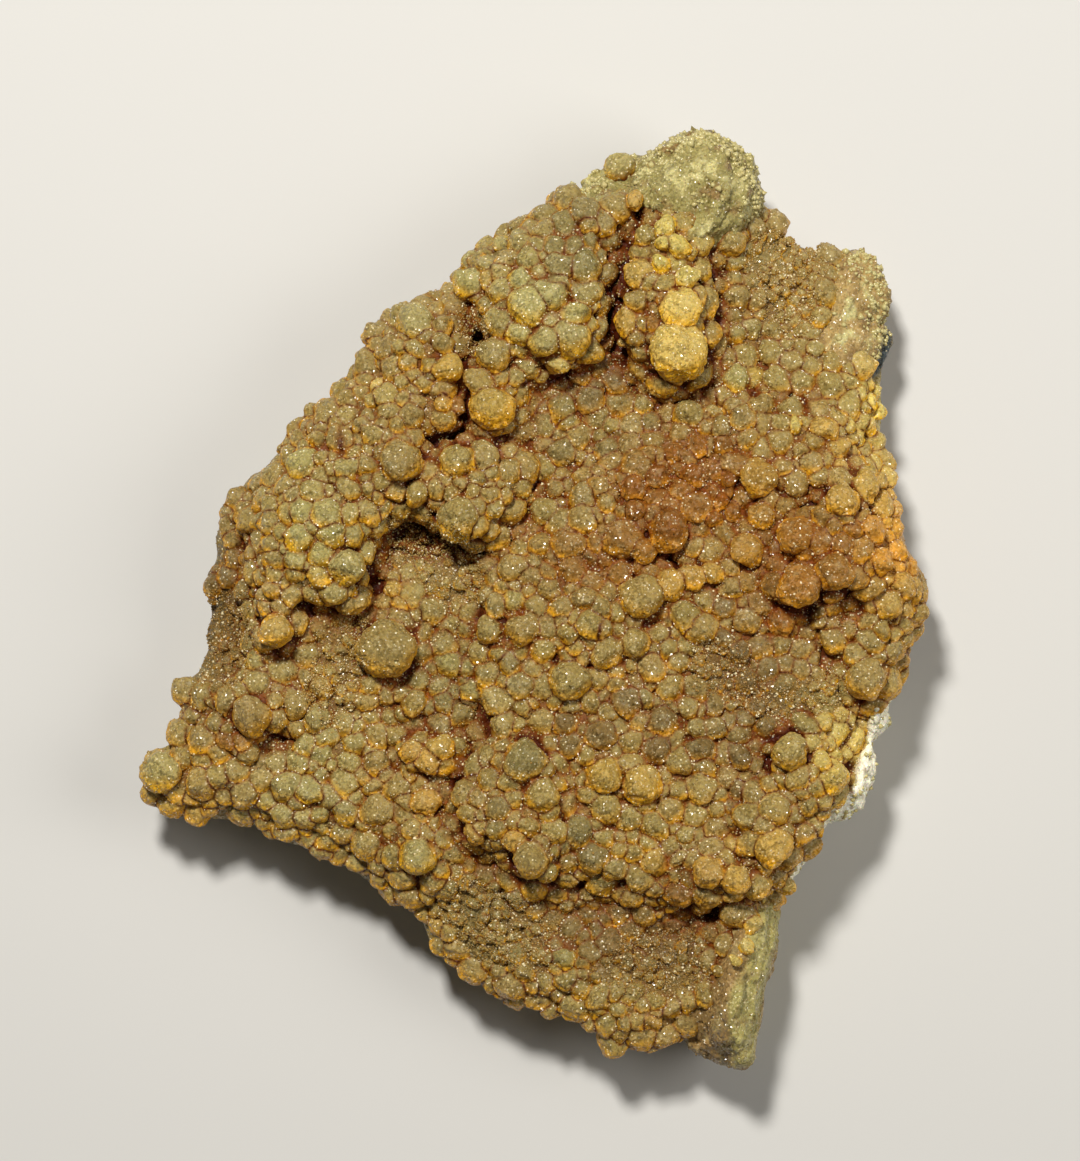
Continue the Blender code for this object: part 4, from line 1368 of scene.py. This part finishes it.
@dataclass(frozen=True)
class BotryoidalTalc:
    """Botryoidal talc as it grew: waxy globules under a frosted micro-crystalline skin."""

    # Light sinks about half a millimetre in. The flanks are painted lighter and orange-yellow, as
    # if lit through, most on each globule's lower side, away from the key light, while crowns stay
    # greyish honey under the frost.
    # Seams and clefts take a red-brown colour with painted shade over it: stronger on each
    # globule's lower side, and near-black where they lie deepest.
    # Painted light: the orange-yellow given to the flanks as if lit through.
    painted_glow_colour: str = "E69E26"
    # Red-brown of seams and clefts, laid partly as painted shade.
    stain_and_shade: str = "743404"
    # Near-black painted shade where seams close and clefts lie deepest.
    deep: str = "441504"
    frost: str = "CCC294"
    # Where the slab broke it is dull and stony: olive cleaved rock with brown veins and
    # pale crumbs, a leathery prong, a pinkish plate, a chalky chip and one bluish wedge.
    matrix: str = "7E6544"
    cleaved: str = "988C54"
    vein: str = "8A6E42"
    crumb: str = "C4B97E"
    sandy: str = "ACA060"
    leathery: str = "9A7C4C"
    pinkish: str = "AA8E58"
    chalk: str = "FFF8DC"
    bluish: str = "3E4648"
    # Each grain of the skin faces its own way, so a few specks catch the light while the rest stay
    # waxy, and a share of the specks is painted near-white as highlights. The real grains are
    # finer:
    # they are drawn as coarse as they need to show.
    # Painted highlight colour given to a share of the specks.
    painted_glint: str = "FFF0C4"
    grain_mm: float = 0.20
    speck_mm: float = 0.34
    frost_mm: float = 0.9
    patch_mm: float = 2.2
    cloud_mm: float = 6.0
    # How much of the painted light on the flanks is this fixed orange-yellow rather than the
    # brightened body colour.
    painted_glow: float = 0.6
    # Most red-brown and painted shade in the seams, and how far the coat comes off there.
    seam_stain_and_shade: float = 0.80
    # Where the red-brown and painted shade start and end in the clefts, and their most.
    cleft_stain_and_shade: tuple[float, float, float] = (0.12, 0.66, 0.88)
    roughness: float = 0.50
    rough_spread: float = 0.16
    coat: float = 0.60
    # Coat left where the red-brown and painted shade lie.
    coat_in_stain_and_shade: float = 0.08
    ior: float = 1.56
    soak_mm: float = 0.55

    def made(self) -> bpy.types.Material:
        """Make the material.

        Returns:
            A material that reads the colours and shares stored on the meshes.
        """
        material = cleared("Botryoidal talc")
        tree = material.node_tree
        place = add_node(tree, "TexCoord").outputs["Object"]
        grain, speck = (
            add_node(tree, "TexVoronoi", {"Scale": 1000 / size_mm, "Vector": place}).outputs
            for size_mm in (self.grain_mm, self.speck_mm)
        )
        body = self.broken(tree, place, self.skin(tree, place))
        drawn, spots = (
            add_node(tree, "SeparateColor", {"Color": cells["Color"]}).outputs
            for cells in (grain, speck)
        )
        low, high = self.roughness - self.rough_spread, self.roughness + self.rough_spread
        rough = add_node(tree, "MapRange", {"To Min": low, "To Max": high, "Value": drawn[1]})
        lighter = add_node(tree, "MapRange", {"To Min": 0.74, "To Max": 1.26, "Value": drawn[0]})
        varied = add_node(tree, "HueSaturation", {"Color": body, "Value": lighter.outputs[0]})
        # Painted highlights: a share of the specks is made near-white in the base colour, whatever
        # the light.
        painted_glint_cells = add_node(
            tree, "MapRange",
            {"From Min": 0.70, "From Max": 0.93, "To Max": 0.80, "Value": spots[2]},
        )
        painted_glint_core = add_node(
            tree, "MapRange", {"From Min": 0.36, "From Max": 0.16, "Value": speck["Distance"]}
        )
        painted_glint_share = add_node(
            tree, "Math", {"operation": "MULTIPLY", 0: painted_glint_cells.outputs[0], 1: painted_glint_core.outputs[0]}
        )
        surface = add_node(
            tree, "Mix", {**BLEND, 0: painted_glint_share.outputs[0], 6: varied.outputs[0], 7: linear(self.painted_glint)}
        )
        waxy, sparkling = self.facings(tree, grain["Color"], speck["Color"])
        shader = add_node(tree, "BsdfPrincipled", {
            "IOR": self.ior,
            "Base Color": surface.outputs[2],
            "Normal": waxy,
            "Roughness": rough.outputs[0],
            "Specular IOR Level": 0.10,
            "Subsurface Weight": 0.28,
            "Subsurface Radius": (0.9, 0.55, 0.20),
            "Subsurface Scale": self.soak_mm * MM,
            "Coat Weight": self.coated(tree),
            "Coat Roughness": 0.14,
            "Coat Normal": sparkling,
        })
        add_node(tree, "OutputMaterial", {"Surface": shader.outputs[0]})
        return material

    @staticmethod
    def stored(tree: bpy.types.NodeTree, name: str) -> Socket:
        """The socket of a share that is stored on the meshes."""
        return add_node(tree, "Attribute", {"attribute_name": name}).outputs["Fac"]

    def skin(self, tree: bpy.types.NodeTree, place: Socket) -> Socket:
        """Colour the crust: honey crowns, painted light on the flanks, frost, and red-brown with
        painted shade in seams and clefts.

        Args:
            tree: the material's nodes.
            place: where each point lies on the object.

        Returns:
            The colour's socket.
        """
        tint = add_node(tree, "Attribute", {"attribute_name": "tint"}).outputs["Color"]
        fine, cloud = (
            add_node(
                tree, "TexNoise", {"Scale": 1000 / size_mm, "Detail": detail, "Vector": place}
            ).outputs["Fac"]
            for size_mm, detail in ((self.frost_mm, 3.0), (self.cloud_mm, 4.0))
        )
        # Painted light on the flanks: the body colour made richer and lighter, mixed with a fixed
        # orange-yellow.
        painted_glow_tint = add_node(tree, "HueSaturation", {"Saturation": 1.70, "Value": 1.60, "Color": tint})
        painted_glow = add_node(
            tree, "Mix", {**BLEND, 0: self.painted_glow, 6: painted_glow_tint.outputs[0], 7: linear(self.painted_glow_colour)}
        )
        rock = add_node(
            tree, "Mix", {**BLEND, 0: cloud, 6: linear(self.matrix), 7: linear(self.cleaved)}
        )
        body = tint
        for source, low, high, most, colour in (
            # Painted light: the lit-through colour laid on the flanks.
            (self.stored(tree, "painted_glow_share"), 0.0, 1.0, 1.0, painted_glow.outputs[2]),
            (fine, 0.50, 0.72, 0.22, linear(self.frost)),
            # Red-brown and near-black painted shade in the seams and clefts.
            (self.stored(tree, "seam"), 0.0, 1.0, self.seam_stain_and_shade, linear(self.stain_and_shade)),
            (self.stored(tree, "seam"), 0.50, 0.95, 0.92, linear(self.deep)),
            (self.stored(tree, "cleft"), *self.cleft_stain_and_shade, linear(self.stain_and_shade)),
            (self.stored(tree, "cleft"), 0.62, 1.05, 0.95, linear(self.deep)),
            (self.stored(tree, "side"), 0.0, 1.0, 1.0, rock.outputs[2]),
        ):
            share = add_node(
                tree, "MapRange",
                {"From Min": low, "From Max": high, "To Max": most, "Value": source},
            )
            over = add_node(tree, "Mix", {**BLEND, 0: share.outputs[0], 6: body, 7: colour})
            body = over.outputs[2]
        return body

    def broken(self, tree: bpy.types.NodeTree, place: Socket, body: Socket) -> Socket:
        """Lay the broken faces over the body colour, each with its veins and crumbs.

        Args:
            tree: the material's nodes.
            place: where each point lies on the object.
            body: the colour elsewhere.

        Returns:
            The colour's socket.
        """
        patch = add_node(
            tree, "TexNoise", {"Scale": 1000 / self.patch_mm, "Detail": 5.0, "Vector": place}
        )
        overlays = [
            (add_node(
                tree, "MapRange", {"From Min": low, "From Max": high, "Value": patch.outputs["Fac"]}
            ), colour)
            for low, high, colour in ((0.54, 0.64, self.vein), (0.46, 0.36, self.crumb))
        ]
        for zone, base, mottle in (
            ("pale", self.cleaved, 0.9), ("tan", self.leathery, 0.3), ("band", self.sandy, 0.5),
            ("pink", self.pinkish, 0.95), ("cream", self.chalk, 0.12), ("wedge", self.bluish, 0.0),
        ):
            face = linear(base)
            for where, colour in overlays:
                part = add_node(
                    tree, "Math", {"operation": "MULTIPLY", 0: where.outputs[0], 1: mottle}
                )
                over = add_node(
                    tree, "Mix", {**BLEND, 0: part.outputs[0], 6: face, 7: linear(colour)}
                )
                face = over.outputs[2]
            over = add_node(tree, "Mix", {**BLEND, 0: self.stored(tree, zone), 6: body, 7: face})
            body = over.outputs[2]
        return body

    def coated(self, tree: bpy.types.NodeTree) -> Socket:
        """Give the open skin its thin gloss, and take it off in the seams and clefts, where the
        red-brown and painted shade lie.

        Args:
            tree: the material's nodes.

        Returns:
            The coat's weight.
        """
        seam = add_node(
            tree, "Math",
            {"operation": "MULTIPLY", 0: self.stored(tree, "seam"), 1: self.seam_stain_and_shade},
        )
        low, high, most = self.cleft_stain_and_shade
        cleft = add_node(tree, "MapRange", {
            "From Min": low, "From Max": high, "To Max": most, "Value": self.stored(tree, "cleft"),
        })
        stain_and_shade_share = add_node(
            tree, "Math", {"operation": "MAXIMUM", 0: seam.outputs[0], 1: cleft.outputs[0]}
        )
        coat = add_node(tree, "MapRange", {
            "To Min": self.coat, "To Max": self.coat_in_stain_and_shade, "Value": stain_and_shade_share.outputs[0],
        })
        return coat.outputs[0]

    @staticmethod
    def facings(tree: bpy.types.NodeTree, grain: Socket, speck: Socket) -> list[Socket]:
        """Turn each speck of the skin its own way.

        Args:
            tree: the material's nodes.
            grain: a random colour for each grain.
            speck: a random colour for each larger speck.

        Returns:
            Normals for the waxy body, and for the coat that flashes.
        """
        outward = add_node(tree, "NewGeometry").outputs["Normal"]
        leans = []
        for cells, strength in ((grain, 1.60), (speck, 0.60)):
            centred = add_node(
                tree, "VectorMath", {"operation": "SUBTRACT", 0: cells, 1: (0.5, 0.5, 0.5)}
            )
            lean = add_node(
                tree, "VectorMath",
                {"operation": "SCALE", "Scale": strength, 0: centred.outputs[0]},
            )
            leans.append(lean.outputs[0])
        both = add_node(tree, "VectorMath", {"operation": "ADD", 0: leans[0], 1: leans[1]})
        normals = []
        for strength in (0.42, 1.0):
            lean = add_node(
                tree, "VectorMath", {"operation": "SCALE", "Scale": strength, 0: both.outputs[0]}
            )
            turned = add_node(
                tree, "VectorMath", {"operation": "ADD", 0: outward, 1: lean.outputs[0]}
            )
            normal = add_node(
                tree, "VectorMath", {"operation": "NORMALIZE", 0: turned.outputs[0]}
            )
            normals.append(normal.outputs[0])
        return normals


@dataclass(frozen=True)
class DruseCrystal:
    """Tiny clear crystals that grew on the crust."""

    # Their faces are smooth and clear: most show the colour below them, some look like
    # grains of gold, and a few picked at random are painted almost white as highlights.
    gold: str = "A67C34"
    # Painted highlight colour of the few whitest crystals.
    cream: str = "F6E8BC"
    roughness: float = 0.16
    ior: float = 1.56

    def made(self) -> bpy.types.Material:
        """Make the material.

        Returns:
            A material that reads each crystal's colour and how much it sparkles.
        """
        material = cleared("Druse crystal")
        tree = material.node_tree
        tint, gold_and_painted_glint = (
            add_node(tree, "Attribute", {"attribute_name": name}).outputs
            for name in ("tint", "gold_and_painted_glint")
        )
        body = tint["Color"]
        # Gold colour by each crystal's share, then painted near-white highlights on the few with
        # the highest share.
        for colour, low, high, most in (
            (self.gold, 0.0, 0.8, 0.75), (self.cream, 0.84, 0.96, 0.85),
        ):
            share = add_node(
                tree, "MapRange",
                {"From Min": low, "From Max": high, "To Max": most, "Value": gold_and_painted_glint["Fac"]},
            )
            over = add_node(
                tree, "Mix", {**BLEND, 0: share.outputs[0], 6: body, 7: linear(colour)}
            )
            body = over.outputs[2]
        shader = add_node(
            tree, "BsdfPrincipled",
            {"IOR": self.ior, "Roughness": self.roughness, "Base Color": body},
        )
        add_node(tree, "OutputMaterial", {"Surface": shader.outputs[0]})
        return material


@dataclass(frozen=True)
class RolledPaper:
    """Uncoated rolled paper under the slab."""

    # Its fibres scatter the light, so it is pale and matt, and shows only the soft shadow.
    shade: str = "D2D0CC"
    roughness: float = 0.9

    def made(self) -> bpy.types.Material:
        """Make the material.

        Returns:
            A plain matt material.
        """
        material = cleared("Pale paper")
        shader = add_node(
            material.node_tree, "BsdfPrincipled",
            {"Base Color": linear(self.shade), "Roughness": self.roughness},
        )
        add_node(material.node_tree, "OutputMaterial", {"Surface": shader.outputs[0]})
        return material


@dataclass(frozen=True)
class Druse:
    """A drift of tiny crystals half sunk in the crust."""

    name: str
    seed: int
    count: int
    size: tuple[float, float]
    in_clefts: float = 0.0
    in_granular: float = 0.0
    on_crowns: float = 0.0
    on_broken: float = 0.0
    # Top of each crystal's random share of gold and painted highlight.
    most_gold_and_painted_glint: float = 1.0
    colour: str | None = None

    def scattered(self, crust: list[bpy.types.Mesh], globules: Globules) -> bpy.types.Mesh:
        """Scatter the crystals over the crust.

        Args:
            crust: its meshes, with what their finish reads stored on them.
            globules: what they were grown from.

        Returns:
            All the crystals as one mesh.
        """
        chance = np.random.default_rng(self.seed)
        parts = [arrays_of(mesh) for mesh in crust]
        start = np.cumsum([0] + [len(points) for points, _ in parts])
        faces = np.concatenate([own + at for (_, own), at in zip(parts, start)])
        corners = np.concatenate([points for points, _ in parts])[faces]
        want, tint = self.wanted(crust, globules, faces, corners)
        chosen = chance.choice(len(faces), self.count, p=want / want.sum())
        share = np.sqrt(chance.random(self.count)), chance.random(self.count)
        corner = corners[chosen]
        spot = corner[:, 0] * (1 - share[0])[:, None]
        spot += corner[:, 1] * (share[0] * (1 - share[1]))[:, None]
        spot += corner[:, 2] * (share[0] * share[1])[:, None]
        size = chance.uniform(*self.size, self.count)[:, None]
        size = size * chance.uniform(0.7, 1.3, (self.count, 3))
        turn = turns(chance, self.count)
        shape = np.einsum("nij,nvj->nvi", turn, OCTAHEDRON[None] * size[:, None, :])
        placed_at = (shape + spot[:, None, :]).reshape(-1, 3)
        loops = (OCTAHEDRON_FACES[None] + 6 * np.arange(self.count)[:, None, None]).reshape(-1, 3)
        mesh = mesh_of(self.name, [(placed_at, loops)])
        shade = tint[chosen]
        if self.colour is not None:
            shade = np.tile(linear(self.colour)[:3], (self.count, 1))
        store(mesh, "tint", np.repeat(shade, 6, axis=0))
        # A random share of gold and painted highlight for each crystal.
        store(mesh, "gold_and_painted_glint", np.repeat(chance.uniform(0.0, self.most_gold_and_painted_glint, self.count), 6))
        return mesh

    def wanted(
        self, crust: list[bpy.types.Mesh], globules: Globules, faces: Array, corners: Array
    ) -> tuple[Array, Array]:
        """Work out where crystals grow.

        Args:
            crust: its meshes, with what their finish reads stored on them.
            globules: what they were grown from.
            faces: the point numbers of each triangle of the crust.
            corners: the places of those points.

        Returns:
            How likely each triangle carries a crystal, and its body colour.
        """
        cleft, granular, side, tint, *bare = (
            np.concatenate([read_back(mesh, name) for mesh in crust])[faces].mean(1)
            for name in ("cleft", "granular", "side", "tint", "cream", "pale", "pink", "tan")
        )
        normals = np.cross(corners[:, 1] - corners[:, 0], corners[:, 2] - corners[:, 0])
        area = np.linalg.norm(normals, axis=1)
        normals /= area[:, None] + 1e-20
        facing = np.clip(normals[:, 2] + 0.3, 0, 1)
        want = self.in_clefts * smooth(0.10, 0.35, cleft) * (1 - smooth(0.8, 1.2, cleft))
        want += self.in_granular * granular + self.on_crowns
        spot = corners.mean(1)
        shown = globules.top.at(spot[:, 0], spot[:, 1]) - spot[:, 2] < 0.5 * MM
        rim = 1 - smooth(0.8 * MM, 3.0 * MM, globules.bed.rim.at(spot[:, 0], spot[:, 1]))
        cream, pale, pink, _ = bare
        broken = (0.15 * cream + pale + 0.6 * pink) * (0.05 + rim)
        want = want * (1 - 0.9 * np.max(bare, axis=0)) * (1 - side) + self.on_broken * broken
        return want * area * facing * shown, tint


def turns(chance: np.random.Generator, count: int) -> Array:
    """Evenly random turns as three by three matrices.

    Args:
        chance: the source of random numbers.
        count: how many turns.

    Returns:
        One matrix for each turn.
    """
    q = chance.normal(size=(count, 4))
    w, x, y, z = (q / np.linalg.norm(q, axis=1)[:, None]).T
    rows = [
        [1 - 2 * (y * y + z * z), 2 * (x * y - z * w), 2 * (x * z + y * w)],
        [2 * (x * y + z * w), 1 - 2 * (x * x + z * z), 2 * (y * z - x * w)],
        [2 * (x * z - y * w), 2 * (y * z + x * w), 1 - 2 * (x * x + y * y)],
    ]
    return np.moveaxis(np.array(rows), 2, 0)


def read_back(mesh: bpy.types.Mesh, name: str) -> Array:
    """A stored number or colour at each point of a mesh.

    Args:
        mesh: the mesh.
        name: the name it was stored under.

    Returns:
        One number or colour for each point, or zeros where it isn't stored.
    """
    attribute = mesh.attributes.get(name)
    if attribute is None:
        return np.zeros(len(mesh.vertices))
    if attribute.data_type == "FLOAT":
        values = np.empty(len(mesh.vertices), dtype=np.float32)
        attribute.data.foreach_get("value", values)
        return values
    colours = np.empty(len(mesh.vertices) * 4, dtype=np.float32)
    attribute.data.foreach_get("color", colours)
    return colours.reshape(-1, 4)[:, :3]


OCTAHEDRON = np.array([(1, 0, 0), (-1, 0, 0), (0, 1, 0), (0, -1, 0), (0, 0, 1), (0, 0, -1)])
OCTAHEDRON_FACES = np.array(
    [(0, 2, 4), (2, 1, 4), (1, 3, 4), (3, 0, 4), (2, 0, 5), (1, 2, 5), (3, 1, 5), (0, 3, 5)]
)
DRIFTS = (
    Druse(
        "cleft_druse", 51, 19000, (0.08 * MM, 0.19 * MM),
        in_clefts=0.8, in_granular=3.4, on_crowns=0.04,
    ),
    Druse(
        "skin_druse", 52, 17500, (0.05 * MM, 0.11 * MM),
        in_clefts=0.5, in_granular=0.6, on_crowns=1.0,
    ),
    Druse(
        "rim_crumbs", 53, 800, (0.12 * MM, 0.40 * MM),
        on_broken=1.0, most_gold_and_painted_glint=0.225, colour=BotryoidalTalc.crumb,
    ),
)


@dataclass(frozen=True)
class Lamp:
    """A square lamp that faces the slab."""

    name: str
    place: tuple[float, float, float]
    size: float
    power: float
    colour: str = "FFFDF8"

    def hang(self) -> None:
        """Put the lamp in the scene."""
        data = bpy.data.lights.new(self.name, "AREA")
        data.size, data.energy, data.color = self.size, self.power, linear(self.colour)[:3]
        lamp = bpy.data.objects.new(self.name, data)
        bpy.context.scene.collection.objects.link(lamp)
        lamp.location = self.place
        lamp.rotation_euler = (-Vector(self.place)).to_track_quat("-Z", "Y").to_euler()


@dataclass
class Studio:
    """A pale floor, soft light from the slab's pointed end and a camera straight above."""

    reach: float = 400 * MM
    view_height: float = 116.1 * MM
    focus: tuple[float, float, float] = (0.8 * MM, 1.5 * MM, 13 * MM)
    sensor: float = 24.0
    floor_half: float = 1.5
    floor_drop: float = 0.05 * MM
    paper: RolledPaper = RolledPaper()
    room: str = "E6E2D8"
    room_strength: float = 0.08
    lamps: tuple[Lamp, ...] = (
        Lamp("key", (-0.10, 0.27, 0.50), 0.075, 3.5),
        Lamp("fill", (0.38, 0.02, 0.36), 0.30, 1.0),
    )

    def floor(self) -> None:
        """Lay a pale matt floor."""
        half = self.floor_half
        mesh = bpy.data.meshes.new("floor")
        corners = [(-half, -half, 0), (half, -half, 0), (half, half, 0), (-half, half, 0)]
        mesh.from_pydata(corners, [], [(0, 1, 2, 3)])
        floor = bpy.data.objects.new("floor", mesh)
        bpy.context.scene.collection.objects.link(floor)
        floor.location.z = -self.floor_drop
        mesh.materials.append(self.paper.made())
        floor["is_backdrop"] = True

    def lights(self) -> None:
        """Hang a soft key beyond the pointed end and a weak fill, in a dim room."""
        world = bpy.data.worlds.new("room")
        bpy.context.scene.world = world
        world.use_nodes = True
        background = world.node_tree.nodes["Background"]
        background.inputs["Color"].default_value = linear(self.room)
        background.inputs["Strength"].default_value = self.room_strength
        for lamp in self.lamps:
            lamp.hang()

    def camera(self) -> None:
        """A camera straight above, with the pointed end at the top of the frame."""
        data = bpy.data.cameras.new("camera")
        data.sensor_fit, data.sensor_height = "VERTICAL", self.sensor
        data.lens = self.sensor * self.reach / self.view_height
        data.clip_start, data.clip_end = 0.01, 10
        camera = bpy.data.objects.new("camera", data)
        bpy.context.scene.collection.objects.link(camera)
        camera.location = Vector(self.focus) + Vector((0, 0, self.reach))
        bpy.context.scene.camera = camera

    def set_up(self) -> None:
        """Set the whole studio up."""
        self.floor()
        self.lights()
        self.camera()
        bpy.context.scene.view_settings.view_transform = "Standard"


def plain(bounds: object) -> list:
    """Bounds as plain lists of numbers."""
    return [[float(value) for value in corner] for corner in bounds]


def placed(name: str, mesh: bpy.types.Mesh) -> bpy.types.Object:
    """Put a mesh in the scene as a piece of the specimen.

    Args:
        name: the piece's name.
        mesh: its mesh.

    Returns:
        The piece.
    """
    piece = bpy.data.objects.new(name, mesh)
    bpy.context.scene.collection.objects.link(piece)
    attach(piece, "root")
    return piece


def main() -> dict:
    """Build and dress the specimen, and set up the studio.
    """
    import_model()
    sizes = {"cad": plain(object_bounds())}
    bed = Bed()
    globules = Globules(bed)
    LOG.info("globules: %d read, %d in all", globules.read, len(globules.radius))
    crust = Crust(bed, globules)
    meshes = [crust.rock()]
    for name, members in zip(crust.names, globules.bands(len(crust.names))):
        meshes.append(crust.band(name, members))
    talc, crystal = BotryoidalTalc().made(), DruseCrystal().made()
    grains = [drift.scattered(meshes, globules) for drift in DRIFTS]
    for mesh, finish in [(m, talc) for m in meshes] + [(m, crystal) for m in grains]:
        mesh.materials.append(finish)
        piece = placed(mesh.name, mesh)
        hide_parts(NODE)
        LOG.info("%s: %d triangles", mesh.name, len(mesh.polygons))
    Studio().set_up()
    sizes["visual"] = plain(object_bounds())
    return sizes


if __name__ == "__main__":
    logging.basicConfig(level=logging.INFO, format="%(name)s: %(message)s")
    main()
